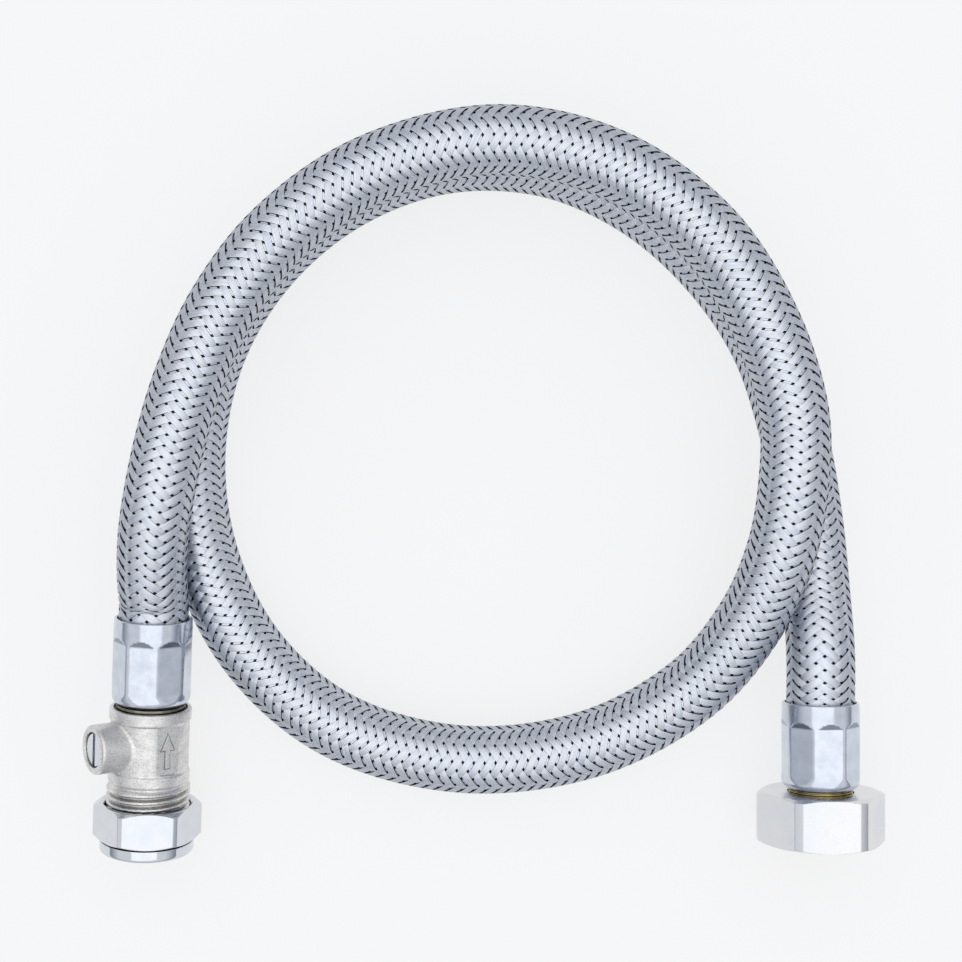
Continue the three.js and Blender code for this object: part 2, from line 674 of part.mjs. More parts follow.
// Hose route: out of the valve ferrule, once and a half round, into the tap ferrule
valveEnd.updateMatrixWorld();
tapEnd.updateMatrixWorld();
const fromValve = (along) => new THREE.Vector3(0, 0, along).applyMatrix4(valveEnd.matrixWorld);
const fromTap = (along) => new THREE.Vector3(0, 0, along).applyMatrix4(tapEnd.matrixWorld);
const hoseRoute = [
  fromValve(HOSE_BURIED),
  fromValve(0),
  fromValve(-VALVE_LEAD),
  new THREE.Vector3(-81.7, -24.0, 22.0),
  new THREE.Vector3(-80.9, -14.0, 25.0),
  new THREE.Vector3(-79.1, -3.5, 26.8),
  new THREE.Vector3(-75.9, 11.0, 27.3),
  new THREE.Vector3(-71.4, 25.5, 27.2),
  new THREE.Vector3(-63.6, 42.5, 26.9),
  new THREE.Vector3(-49.9, 60.5, 26.6),
  new THREE.Vector3(-27.3, 76.3, 26.5),
  new THREE.Vector3(3.7, 83.8, 26.5),
  new THREE.Vector3(32.1, 77.8, 26.5),
  new THREE.Vector3(55.8, 60.7, 26.6),
  new THREE.Vector3(70.0, 38.3, 26.7),
  new THREE.Vector3(76.8, 16.1, 26.9),
  new THREE.Vector3(76.8, -1.1, 26.4),
  new THREE.Vector3(74.2, -17.4, 24.2),
  new THREE.Vector3(67.4, -34.8, 19.2),
  new THREE.Vector3(53.6, -52.7, 13.2),
  new THREE.Vector3(28.1, -67.2, 9.4),
  new THREE.Vector3(-5.1, -71.3, 8.7),
  new THREE.Vector3(-37.0, -62.5, 8.7),
  new THREE.Vector3(-58.6, -43.8, 8.7),
  new THREE.Vector3(-70.9, -18.9, 8.7),
  new THREE.Vector3(-74.1, 8.2, 8.7),
  new THREE.Vector3(-68.4, 34.5, 8.7),
  new THREE.Vector3(-54.4, 56.8, 8.7),
  new THREE.Vector3(-34.0, 73.4, 8.7),
  new THREE.Vector3(-9.2, 82.3, 8.7),
  new THREE.Vector3(17.1, 81.4, 8.7),
  new THREE.Vector3(40.3, 71.3, 8.7),
  new THREE.Vector3(59.1, 54.9, 8.7),
  new THREE.Vector3(72.5, 35.2, 8.7),
  new THREE.Vector3(80.3, 11.5, 8.7),
  new THREE.Vector3(84.0, -9.5, 8.9),
  new THREE.Vector3(85.5, -28.4, 10.8),
  fromTap(-TAP_LEAD),
  fromTap(0),
  fromTap(HOSE_BURIED),
];
const hosePath = new THREE.CatmullRomCurve3(hoseRoute, false, 'centripetal');

function hoseTube(outerR, innerR) {
  const section = circle(outerR, HOSE_SIDES);
  section.holes.push(circle(innerR, HOSE_SIDES));
  return weld(new THREE.ExtrudeGeometry(section, { steps: HOSE_STEPS, extrudePath: hosePath }));
}

const connector = new THREE.Group();
connector.name = 'isolating_valve_flexible_connector';
connector.position.copy(FITTINGS_MIDDLE).negate();
connector.add(valveEnd);
connector.add(tapEnd);
connector.add(piece('hose_braid', hoseTube(HOSE_OUTER_R, HOSE_OUTER_R - BRAID_WALL), braidSteel));
connector.add(piece('hose_liner', hoseTube(linerR, linerBoreR), blackRubber));

export default connector;
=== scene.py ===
# %% [markdown]
# # Isolating valve flexible connector
# This is the flexible pipe that joins a 15 mm supply pipe to a tap. A rubber hose in a braid of
# stainless wire has a small screwdriver-operated valve crimped to one end and a swivel nut crimped
# to the other. Blender could model it from scratch, but the CAD part already fixes the sizes and
# the moving bodies, so this scene loads it as a frame and builds finer surfaces on it.

# %% Load the CAD frame
import math

import bpy
import numpy as np
from mathutils import Matrix, Vector


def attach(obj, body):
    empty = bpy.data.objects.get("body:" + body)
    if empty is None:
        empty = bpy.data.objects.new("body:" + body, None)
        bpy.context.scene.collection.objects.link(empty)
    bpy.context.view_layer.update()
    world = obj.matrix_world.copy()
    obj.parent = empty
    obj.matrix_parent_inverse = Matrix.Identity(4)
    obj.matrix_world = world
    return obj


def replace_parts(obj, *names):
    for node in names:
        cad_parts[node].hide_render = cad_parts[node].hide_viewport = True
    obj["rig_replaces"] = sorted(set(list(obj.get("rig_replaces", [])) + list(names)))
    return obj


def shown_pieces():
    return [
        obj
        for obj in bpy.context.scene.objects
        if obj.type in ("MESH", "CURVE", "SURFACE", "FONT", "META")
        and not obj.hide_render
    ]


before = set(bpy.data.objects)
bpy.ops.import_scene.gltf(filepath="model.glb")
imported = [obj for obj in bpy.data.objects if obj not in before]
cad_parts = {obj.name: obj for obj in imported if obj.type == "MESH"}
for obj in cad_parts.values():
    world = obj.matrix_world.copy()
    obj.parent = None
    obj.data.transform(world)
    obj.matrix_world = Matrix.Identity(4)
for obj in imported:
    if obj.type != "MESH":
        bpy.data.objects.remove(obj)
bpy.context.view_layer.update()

# %% [markdown]
# ## Camera
# A product like this is photographed from straight above, lying on a pale table. A long lens from
# far away would flatten it. The ends of the photographed fittings show a little of their sides, so
# the camera hangs only 43 cm above the table, over the middle of the hose loop.

# %% Hang the camera over the loop
LOOP_MIDDLE = (-0.00146, 0.06384)
CAMERA_HEIGHT = 0.432
camera_data = bpy.data.cameras.new("camera")
camera_data.sensor_width = 36
camera_data.lens = 61.75
camera = bpy.data.objects.new("camera", camera_data)
camera.location = (*LOOP_MIDDLE, CAMERA_HEIGHT)
bpy.context.collection.objects.link(camera)
bpy.context.scene.camera = camera
print("camera height", camera.location.z, "m, lens", camera_data.lens, "mm")

# %% [markdown]
# ## Where the two fittings lie
# Each fitting is built upright along its own Z axis in millimetres, outward from the mouth of its
# ferrule, and a matrix then lays it on the table. The valve droops a few degrees because its nut
# rests on the table while the hose beneath it holds the other end up. The tap nut lies flat.

# %% Place the fittings
MM = 0.001
VALVE_DROOP = math.radians(6.4)
VALVE_SWING = math.radians(3.0)
valve_mouth = Vector((-0.08336, 0.02974, 0.0192))
tap_mouth = Vector((0.08444, 0.00804, 0.0145))
valve_turn = Matrix.Rotation(-VALVE_SWING, 4, "Z") @ Matrix.Rotation(math.pi / 2 + VALVE_DROOP, 4, "X")
tap_turn = Matrix.Rotation(math.pi / 2, 4, "X")
valve_place = Matrix.Translation(valve_mouth) @ valve_turn @ Matrix.Scale(MM, 4)
tap_place = Matrix.Translation(tap_mouth) @ tap_turn @ Matrix.Scale(MM, 4)
print("valve axis", [round(x, 3) for x in valve_turn.col[2]])

# %% [markdown]
# ## Route of the hose
# The hose leaves the valve, climbs over its own lower turn, runs once and a half round and enters the
# tap ferrule from below. A simulation would settle it somewhere else, so the route is a list of
# points, the same as in the CAD part, and a smooth curve runs through them.

# %% Choose the route
HOSE_BURIED = 20.3
VALVE_LEAD = 4
TAP_LEAD = 12
route_middle = [
    (-0.08316, 0.03984, 0.0220),
    (-0.08236, 0.04984, 0.0250),
    (-0.08056, 0.06034, 0.0268),
    (-0.07736, 0.07484, 0.0273),
    (-0.07286, 0.08934, 0.0272),
    (-0.06506, 0.10634, 0.0269),
    (-0.05136, 0.12434, 0.0266),
    (-0.02876, 0.14014, 0.0265),
    (0.00224, 0.14764, 0.0265),
    (0.03064, 0.14164, 0.0265),
    (0.05434, 0.12454, 0.0266),
    (0.06854, 0.10214, 0.0267),
    (0.07534, 0.07994, 0.0269),
    (0.07534, 0.06274, 0.0264),
    (0.07274, 0.04644, 0.0242),
    (0.06594, 0.02904, 0.0192),
    (0.05214, 0.01114, 0.0132),
    (0.02664, -0.00336, 0.0094),
    (-0.00656, -0.00746, 0.0087),
    (-0.03846, 0.00134, 0.0087),
    (-0.06006, 0.02004, 0.0087),
    (-0.07236, 0.04494, 0.0087),
    (-0.07556, 0.07204, 0.0087),
    (-0.06986, 0.09834, 0.0087),
    (-0.05586, 0.12064, 0.0087),
    (-0.03546, 0.13724, 0.0087),
    (-0.01066, 0.14614, 0.0087),
    (0.01564, 0.14524, 0.0087),
    (0.03884, 0.13514, 0.0087),
    (0.05764, 0.11874, 0.0087),
    (0.07104, 0.09904, 0.0087),
    (0.07884, 0.07534, 0.0087),
    (0.08254, 0.05434, 0.0089),
    (0.08404, 0.03544, 0.0108),
]


def on_axis(place, distances):
    return [tuple(place @ Vector((0, 0, distance))) for distance in distances]


route = on_axis(valve_place, (HOSE_BURIED, 0, -VALVE_LEAD))
route += route_middle
route += on_axis(tap_place, (-TAP_LEAD, 0, HOSE_BURIED))
print("route points", len(route))

# %% [markdown]
# A centripetal Catmull-Rom curve passes through every point and never loops between two of them.
# Blender has no such curve, but its formula is short, so it is worked out here with arrays and
# then measured at even steps.

# %% Draw a smooth curve through the route
HOSE_SAMPLES = 3001


def smooth_curve(points, steps=60):
    points = np.array(points)
    control = np.vstack([2 * points[0] - points[1], points, 2 * points[-1] - points[-2]])
    gaps = np.sqrt(np.linalg.norm(np.diff(control, axis=0), axis=1))
    t = np.linspace(0, 1, steps, endpoint=False)[:, None]
    parts = []
    for i in range(len(points) - 1):
        a, b, c, d = control[i : i + 4]
        before, here, after = gaps[i : i + 3]
        leave = here * ((b - a) / before - (c - a) / (before + here) + (c - b) / here)
        arrive = here * ((c - b) / here - (d - b) / (here + after) + (d - c) / after)
        run = (2 * t**3 - 3 * t**2 + 1) * b + (t**3 - 2 * t**2 + t) * leave
        parts.append(run + (3 * t**2 - 2 * t**3) * c + (t**3 - t**2) * arrive)
    return np.vstack([*parts, points[-1:]])


def at_distance(distance, known, values):
    return np.stack([np.interp(distance, known, column) for column in values.T], axis=-1)


rough = smooth_curve(route)
rough_distance = np.append(0, np.cumsum(np.linalg.norm(np.diff(rough, axis=0), axis=1)))
hose_length = float(rough_distance[-1])
hose_distance = np.linspace(0, hose_length, HOSE_SAMPLES)
hose_centre = at_distance(hose_distance, rough_distance, rough)
print("hose length", round(hose_length, 4), "m")

# %% [markdown]
# To wrap anything round the hose, each point of the curve needs two directions at right angles to
# it. If they were taken from the world's axes they would spin at some bends, so they are carried
# along: each step keeps the last direction and removes what now points along the hose.

# %% Carry two directions along the hose
def carried_directions(centre):
    tangent = np.gradient(centre, axis=0)
    tangent /= np.linalg.norm(tangent, axis=1)[:, None]
    side = np.empty_like(centre)
    last = np.array((1.0, 0, 0))
    for i, ahead in enumerate(tangent):
        last = last - ahead * (last @ ahead)
        last = last / np.linalg.norm(last)
        side[i] = last
    return side, np.cross(tangent, side)


hose_side, hose_up = carried_directions(hose_centre)


def around_hose(distance, angle, radius):
    rows = hose_centre, hose_side, hose_up
    centre, side, up = (at_distance(distance, hose_distance, row) for row in rows)
    outward = side * np.cos(angle)[..., None] + up * np.sin(angle)[..., None]
    return centre + outward * radius[..., None]


print("directions carried over", len(hose_side), "points")

# %% [markdown]
# ## A mesh from a grid
# Nearly every piece here is a grid of points that closes round an axis: rings along it, and points
# round each ring. Blender's own primitives can't follow a crimp or a thread, so one helper turns
# any grid into a closed mesh, turns its faces outward and marks the edges that should look sharp.

# %% Build meshes from grids
def signed_volume(points, faces):
    corners = points[faces]
    first = np.cross(corners[:, 1], corners[:, 2])
    second = np.cross(corners[:, 2], corners[:, 3])
    return float(np.sum(corners[:, 0] * (first + second)) / 6)


def grid_faces(rings, sides, loop):
    ring = np.arange(rings if loop else rings - 1)[:, None]
    side = np.arange(sides)[None, :]
    next_ring = (ring + 1) % rings * sides
    next_side = (side + 1) % sides
    corners = (ring * sides + side, next_ring + side, next_ring + next_side, ring * sides + next_side)
    return np.stack(np.broadcast_arrays(*corners), axis=-1).reshape(-1, 4)


def add_piece(name, points, faces, caps=(), sharp=32):
    if signed_volume(points - points.mean(axis=0), faces) < 0:
        faces = faces[:, ::-1]
        caps = [cap[::-1] for cap in caps]
    mesh = bpy.data.meshes.new(name)
    mesh.from_pydata(points.tolist(), [], [*faces.tolist(), *caps])
    mesh.shade_smooth()
    mesh.set_sharp_from_angle(angle=math.radians(sharp))
    piece = bpy.data.objects.new(name, mesh)
    bpy.context.collection.objects.link(piece)
    return piece


def store(piece, label, values):
    attribute = piece.data.attributes.new(label, "FLOAT", "POINT")
    attribute.data.foreach_set("value", np.asarray(values, np.float32).ravel())


print("grid helpers ready")

# %% [markdown]
# ## The rubber hose inside the braid
# Under the braid is a smooth black rubber tube. It shows only as small dark diamonds between the
# wires, but it is what makes those diamonds black. It is a tube with a real bore, swept along the
# curve.

# %% Sweep the liner
LINER_R = 8.0
LINER_BORE_R = 6.7
LINER_SIDES = 20
LINER_RINGS = 432
liner_distance = np.linspace(0, hose_length, LINER_RINGS)
liner_turn = np.arange(LINER_SIDES) * 2 * math.pi / LINER_SIDES


def hose_wall(radius, distance):
    turns, along = np.meshgrid(liner_turn, distance)
    return around_hose(along, turns, np.full_like(along, radius * MM))


outer_wall = hose_wall(LINER_R, liner_distance)
inner_wall = hose_wall(LINER_BORE_R, liner_distance[::-1])
liner_grid = np.vstack([outer_wall, inner_wall])
liner_faces = grid_faces(len(liner_grid), LINER_SIDES, True)
liner = add_piece("liner", liner_grid.reshape(-1, 3), liner_faces)
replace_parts(liner, "hose_liner")
print("liner faces", len(liner.data.polygons))

# %% [markdown]
# ## The braid
# A braiding machine winds twelve flat strands of wire one way round the hose and twelve the other
# way, and each strand passes over two and under two. A picture of a braid would look flat at the
# edges of the hose. Real ribbons cost many faces, but they give the true diamonds, highlights and
# outline, so each strand is a thin ribbon that follows a helix and rises and dips at crossings.

# %% Decide which strand is on top
STRANDS = 12
LEAD = 33.0
BRAID_R = 8.36
WAVE = 0.16
STEPS_PER_LEAD = 48
braid_steps = int(hose_length / MM / LEAD * STEPS_PER_LEAD)
step_number = np.arange(braid_steps + 1)
strand_distance = step_number * LEAD / STEPS_PER_LEAD


def height_of(strand, hand):
    crossing = 2 * strand[:, None] + hand * (step_number // 2)[None, :]
    on_top = np.isin(crossing % 4, (0, 1) if hand > 0 else (2, 3)).astype(float)
    halfway = (on_top + np.roll(on_top, -2, axis=1)) / 2
    mixed = np.where(step_number % 2 == 0, on_top, halfway)
    return BRAID_R + WAVE * (2 * mixed - 1)


print("braid samples along the hose", braid_steps + 1)

# %% [markdown]
# The ribbon's section has six corners, with a crowned top and a flat underside, so that light runs
# across it as it does across a band of wires. Each corner is moved along the hose and round it
# together, because a ribbon on a helix is as wide across its own direction and not across the hose.
# The two hands' strands are numbered far apart, so that no two of them get the same wires.

# %% Wind the ribbons
HALF_WIDTH = 0.86
RIBBON_SECTION = [(-1.0, 0.06), (-0.5, 0.11), (0.5, 0.11), (1.0, 0.06), (0.97, -0.19), (-0.97, -0.19)]
HANDS_APART = 20.0
lean = math.atan2(2 * math.pi * BRAID_R, LEAD)


def wind(name, hand):
    strand = np.arange(STRANDS)
    radius = height_of(strand, hand)
    across, lift = np.array(RIBBON_SECTION).T
    shift = across * HALF_WIDTH
    along = strand_distance[None, :, None] - hand * shift * math.sin(lean)
    turn = hand * strand_distance / LEAD + strand[:, None] / STRANDS
    angle = 2 * math.pi * turn[..., None] + shift * math.cos(lean) / BRAID_R
    along = np.broadcast_to(along, angle.shape)
    points = around_hose(along * MM, angle, (radius[..., None] + lift) * MM)
    sides = len(RIBBON_SECTION)
    one = grid_faces(braid_steps + 1, sides, False)
    per_strand = (braid_steps + 1) * sides
    faces = np.vstack([one + number * per_strand for number in strand])
    first = [list(range(number * per_strand, number * per_strand + sides)) for number in strand]
    last = [[corner + per_strand - sides for corner in cap][::-1] for cap in first]
    piece = add_piece(name, points.reshape(-1, 3), faces, first + last, sharp=60)
    store(piece, "across", np.broadcast_to(across, angle.shape))
    store(piece, "along", along)
    store(piece, "strand", np.broadcast_to(strand[:, None, None] + hand * HANDS_APART, angle.shape))
    return piece


braid_right = wind("braid_right", 1)
braid_left = wind("braid_left", -1)
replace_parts(braid_right, "hose_braid")
print("braid faces", len(braid_right.data.polygons) + len(braid_left.data.polygons))

# %% [markdown]
# The hose is held only at its two ferrules, and the tap end is part of the object too. The liner and
# the braid ride on the hose assembly's body.

for hose_piece in (liner, braid_right, braid_left):
    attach(hose_piece, "hose_assembly")

# %% [markdown]
# ## Turned pieces
# The fittings are brass and steel turned on a lathe, so each starts as an outline of radius and
# distance along the axis. A plain Screw modifier would do for round pieces only. Here the outline's
# corners are rounded first, and a second function may then press flats, threads or crimps into it.

# %% Helpers for turned pieces
MOST_OF_EDGE = 0.48
FILLET_POINTS = 6


def rounded(outline, spacing, loop=True):
    points = [np.array(corner[:2], float) for corner in outline]
    count = len(points)
    path = []
    for i, corner in enumerate(outline):
        here = points[i]
        reach = corner[2] if len(corner) > 2 else 0
        if not reach or (not loop and i in (0, count - 1)):
            path.append(here)
            continue
        ways = points[i - 1] - here, points[(i + 1) % count] - here
        start, end = (here + way * min(MOST_OF_EDGE, reach / np.linalg.norm(way)) for way in ways)
        for t in np.linspace(0, 1, FILLET_POINTS):
            path.append((1 - t) ** 2 * start + 2 * t * (1 - t) * here + t * t * end)
    return spaced(path, spacing, loop)


def spaced(path, spacing, loop):
    fine = []
    for i, here in enumerate(path):
        fine.append(here)
        if i + 1 < len(path) or loop:
            step = path[(i + 1) % len(path)] - here
            pieces = max(1, math.ceil(np.linalg.norm(step) / spacing))
            fine.extend(here + step * k / pieces for k in range(1, pieces))
    return np.array(fine)


def even_turns(sides):
    return np.arange(sides) * 2 * math.pi / sides


def placed(radius, turns, along, place):
    columns = np.broadcast_arrays(radius * np.cos(turns), radius * np.sin(turns), along, 1.0)
    return (np.stack(columns, axis=-1).reshape(-1, 4) @ np.array(place).T)[:, :3]


def turned(name, outline, place, turns, shape=None, spacing=0.8, loop=True, ride="hose_assembly"):
    path = rounded(outline, spacing, loop)
    radius, along = path[:, :1], path[:, 1:]
    radius = np.broadcast_to(radius, (len(path), len(turns))).copy()
    if shape:
        radius = shape(turns[None, :], radius, along)
    points = placed(radius, turns, along, place)
    first = list(range(len(turns)))
    last = [(len(path) - 1) * len(turns) + i for i in first]
    caps = [] if loop else [first, last[::-1]]
    piece = add_piece(name, points, grid_faces(len(path), len(turns), loop), caps)
    arc = np.append(0, np.cumsum(np.linalg.norm(np.diff(path, axis=0), axis=1)))
    store(piece, "lathe", np.broadcast_to(arc[:, None], radius.shape))
    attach(piece, ride)
    return piece


print("turning helpers ready")

# %% [markdown]
# ## The crimped ferrules
# A ferrule is a thin steel cup pushed over the hose end and squeezed by eight jaws. The jaws leave
# eight long flats with arched ends and narrow ridges between them, while the mouth stays round.
# Cutting them with booleans would take eight tools for each ferrule. Here each jaw is a plane with
# a slope at both ends, and the smaller of its distance and the cup's own radius wins.

# %% Press the ferrules
FERRULE_LENGTH = 21.8
FERRULE_BORE_R = 8.95
FERRULE_R = 9.75
FERRULE_END_WALL = 0.9
CRIMPS = 8
CRIMP_DEPTH = 0.6
VALVE_CRIMP_ROLL = math.radians(6.0)
TAP_CRIMP_ROLL = math.radians(-3.7)
CRIMP_START = 6.0
CRIMP_END = 18.2
CRIMP_TOP_SLOPE = 0.36
CRIMP_FOOT_SLOPE = 0.3
TAIL_NECK_HOLE_R = 7.3
FERRULE_SIDES = 192
ARCH_SHADE_START = 3.4


def ease(value):
    value = np.clip(value, 0, 1)
    return value * value * (3 - 2 * value)


def faded(along, start, end, rise, fall):
    return ease((along - start) / rise) * ease((end - along) / fall)


def crimped(turns, radius, along):
    pitch = 2 * math.pi / CRIMPS
    offset = (turns - math.pi / 2 + pitch / 2) % pitch - pitch / 2
    above = np.maximum(CRIMP_START - along, 0) * CRIMP_TOP_SLOPE
    below = np.maximum(along - CRIMP_END, 0) * CRIMP_FOOT_SLOPE
    jaw = (FERRULE_R - CRIMP_DEPTH + above + below) / np.cos(offset)
    return np.minimum(radius, np.maximum(jaw, FERRULE_BORE_R))


ferrule_outline = [
    (FERRULE_BORE_R, 0, 0.2),
    (FERRULE_R - 0.1, 0, 0.35),
    (FERRULE_R, 2.6, 1.0),
    (FERRULE_R, FERRULE_LENGTH - 1.2, 0.9),
    (FERRULE_R - 1.3, FERRULE_LENGTH, 0.4),
    (TAIL_NECK_HOLE_R, FERRULE_LENGTH, 0.1),
    (TAIL_NECK_HOLE_R, FERRULE_LENGTH - FERRULE_END_WALL),
    (FERRULE_BORE_R, FERRULE_LENGTH - FERRULE_END_WALL),
]


def mark_arch_shade(piece, rolled):
    back = np.array(rolled.inverted())
    points = np.empty(3 * len(piece.data.vertices))
    piece.data.vertices.foreach_get("co", points)
    local = points.reshape(-1, 3) @ back[:3, :3].T + back[:3, 3]
    radius, along = np.hypot(local[:, 0], local[:, 1]), local[:, 2]
    pressed = (radius < FERRULE_R - 0.04) & (radius > FERRULE_BORE_R + 0.05)
    # Stores the arched tops of the flats, which the ferrule steel paints darker as painted shade.
    store(piece, "jaw", pressed & (along > ARCH_SHADE_START) & (along < CRIMP_START - 0.1))


def make_ferrule(name, place, roll):
    rolled = place @ Matrix.Rotation(roll, 4, "Z")
    piece = turned(name, ferrule_outline, rolled, even_turns(FERRULE_SIDES), crimped, 0.35)
    mark_arch_shade(piece, rolled)
    return piece


valve_ferrule = make_ferrule("ferrule_valve", valve_place, VALVE_CRIMP_ROLL)
tap_ferrule = make_ferrule("ferrule_tap", tap_place, TAP_CRIMP_ROLL)
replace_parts(valve_ferrule, "valve_ferrule")
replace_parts(tap_ferrule, "tap_ferrule")
print("ferrule faces", len(valve_ferrule.data.polygons))

# %% [markdown]
# ## The valve body
# The body is a brass forging, turned at both ends and plated. A collar seats against the ferrule,
# the barrel holds the ball, a second collar follows, and a half-inch pipe thread carries the nut.
# The thread is a real helix: the radius rises and falls once for each turn and 1.81 mm.

# %% Turn the barrel, collars and thread
BODY_START = 22.7
COLLAR_END = 25.6
BARREL_END = 38.5
THREAD_START = 41.6
BODY_END = 54.0
COLLAR_R = 10.2
BARREL_R = 9.8
LOWER_COLLAR_R = 10.15
THREAD_R = 10.45
THREAD_PITCH = 1.814
THREAD_DEPTH = 1.1
THREAD_RELIEF_R = 9.6
THREAD_RINGS_APART = 0.09
THREAD_END_CHAMFER = 0.9
THREAD_RUN_IN = 0.9
THREAD_RUN_OUT = 0.3
THREAD_FADES = (0.8, 0.9)
OUTSIDE_R = BARREL_R - 1.6
PANEL_TURN = math.radians(90 - 38.5)
PANEL_R = BARREL_R - 0.44
PANEL_MARGIN = 0.4
LEAST_COSINE = 0.2
PIPE_SOCKET_R = 7.8
PIPE_SOCKET_DEPTH = 10
MOUTH_CONE = 2.7
MOUTH_FLARE = 1.35
PORT_R = 4.2
CHAMBER_R = 6.3
CHAMBER_START = 24.14
CHAMBER_END = 40.26
TAIL_BORE_R = 7.9
TAIL_RECESS = 0.9
BODY_SIDES = 216


def thread_wave(turns, along):
    return np.abs(((along / THREAD_PITCH - turns / (2 * math.pi)) % 1) * 2 - 1)


def threaded(turns, radius, along):
    groove = ease(1.5 * thread_wave(turns, along) - 0.25) * THREAD_DEPTH
    fade = faded(along, THREAD_START + THREAD_RUN_IN, BODY_END - THREAD_RUN_OUT, *THREAD_FADES)
    return np.where(radius > OUTSIDE_R, radius - groove * fade, radius)


def flattened(turns, radius, along):
    offset = (turns - PANEL_TURN + math.pi) % (2 * math.pi) - math.pi
    flat = PANEL_R / np.maximum(np.cos(offset), LEAST_COSINE)
    on_barrel = (along > COLLAR_END + PANEL_MARGIN) & (along < BARREL_END - PANEL_MARGIN)
    return np.where(on_barrel & (radius > OUTSIDE_R), np.minimum(radius, flat), radius)


def body_shape(turns, radius, along):
    return threaded(turns, flattened(turns, radius, along), along)


thread_rings = np.arange(THREAD_START + 1.2, BODY_END - THREAD_END_CHAMFER, THREAD_RINGS_APART)
body_outline = [
    (COLLAR_R - 1, BODY_START, 0.1),
    (COLLAR_R, BODY_START, 0.5),
    (COLLAR_R, COLLAR_END, 0.35),
    (BARREL_R, COLLAR_END + 0.3, 0.25),
    (BARREL_R, BARREL_END, 0.25),
    (LOWER_COLLAR_R, BARREL_END + 0.3, 0.35),
    (LOWER_COLLAR_R, THREAD_START - 0.3, 0.35),
    (THREAD_RELIEF_R, THREAD_START, 0.2),
    (THREAD_RELIEF_R, THREAD_START + 0.5, 0.2),
    *[(THREAD_R, along) for along in thread_rings],
    (THREAD_R, BODY_END - THREAD_END_CHAMFER),
    (THREAD_R - THREAD_END_CHAMFER, BODY_END, 0.1),
    (PIPE_SOCKET_R + MOUTH_FLARE, BODY_END, 0.1),
    (PIPE_SOCKET_R, BODY_END - MOUTH_CONE, 0.3),
    (PIPE_SOCKET_R, BODY_END - PIPE_SOCKET_DEPTH),
    (PORT_R, BODY_END - PIPE_SOCKET_DEPTH, 0.2),
    (PORT_R, CHAMBER_END),
    (CHAMBER_R, CHAMBER_END),
    (CHAMBER_R, CHAMBER_START),
    (TAIL_BORE_R, CHAMBER_START),
    (TAIL_BORE_R, BODY_START + TAIL_RECESS),
    (COLLAR_R - 1, BODY_START + TAIL_RECESS),
]
body_turns = even_turns(BODY_SIDES)
valve_body = turned("valve_body_fine", body_outline, valve_place, body_turns, body_shape, 0.3)
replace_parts(valve_body, "valve_body")
print("body faces", len(valve_body.data.polygons))

# %% [markdown]
# ## The stem boss
# The stem leaves the body through a short round boss that leans up and to one side. A forging has
# no sharp inner corners, so the boss swells into the barrel. Its foot is worked out from where a
# circle round the stem meets the barrel, and a curve then carries it from the barrel up the wall.

# %% Grow the boss from the barrel
BALL_AT = 32.05
BOSS_TURN = math.radians(38.5)
BOSS_R = 6.18
BOSS_REACH = 15.6
BOSS_FOOT = 0.8
BOSS_SUNK = 1.5
STEM_BORE_R = 4.4
STEM_BORE_FLOOR = 5.4
outward = Vector((-math.cos(BOSS_TURN), math.sin(BOSS_TURN), 0))
pipeway = Vector((0, 0, 1))
stem_axes = Matrix((pipeway, outward.cross(pipeway), outward)).transposed().to_4x4()
stem_place = valve_place @ Matrix.Translation((0, 0, BALL_AT)) @ stem_axes
boss_turns = even_turns(120)


def barrel_height(radius):
    return np.sqrt(BARREL_R**2 - (radius * np.sin(boss_turns)) ** 2)


def boss_rings():
    foot = barrel_height(BOSS_R + BOSS_FOOT) - 0.04
    root = barrel_height(BOSS_R)
    rings = [(BOSS_R + BOSS_FOOT, foot - BOSS_SUNK)]
    for t in np.linspace(0, 1, 8):
        radius = (1 - t) ** 2 * (BOSS_R + BOSS_FOOT) + (1 - (1 - t) ** 2) * BOSS_R
        height = (1 - t) ** 2 * foot + 2 * t * (1 - t) * root + t * t * (root + BOSS_FOOT)
        rings.append((radius, height))
    wall = (BOSS_R, 12), (BOSS_R, BOSS_REACH, 0.9)
    bore = (STEM_BORE_R, BOSS_REACH, 0.25), (STEM_BORE_R, STEM_BORE_FLOOR)
    for radius, height in rounded([*wall, *bore], 0.5, False):
        rings.append((radius, np.full_like(boss_turns, height)))
    return rings


rings = boss_rings()
radii = np.array([[radius] for radius, _ in rings])
heights = np.array([height for _, height in rings])
boss_grid = placed(radii, boss_turns, heights, stem_place)
boss = add_piece("boss", boss_grid, grid_faces(len(rings), len(boss_turns), True))
print("boss faces", len(boss.data.polygons))

# %% [markdown]
# ## The flow arrow
# A raised arrow on a flat shows which way the water runs. It is forged with the body, so its sides
# slope a little. A text character would have the wrong shape, so it is its own small prism whose
# top outline is drawn in from its foot.

# %% Raise the arrow
ARROW_LENGTH = 8.8
ARROW_HEAD = 4.2
ARROW_HALF = 1.8
ARROW_SHAFT_HALF = 0.65
ARROW_RAISED = 0.45
TIP_DRAWN_IN = 1.9
SIDES_DRAWN_IN = 1.6
ARROW_LEVELS = [(-0.8, -0.25), (0, -0.25), (ARROW_RAISED - 0.1, 0.05), (ARROW_RAISED, 0.2)]
arrow_middle = (COLLAR_END + BARREL_END) / 2


def arrow_outline(inset):
    tip = arrow_middle - ARROW_LENGTH / 2 + inset * TIP_DRAWN_IN
    neck = arrow_middle - ARROW_LENGTH / 2 + ARROW_HEAD - inset
    tail = arrow_middle + ARROW_LENGTH / 2 - inset
    half, shaft = ARROW_HALF - inset * SIDES_DRAWN_IN, ARROW_SHAFT_HALF - inset
    right = [(half, neck), (shaft, neck), (shaft, tail)]
    return [(0, tip), *right, *[(-x, z) for x, z in reversed(right)]]


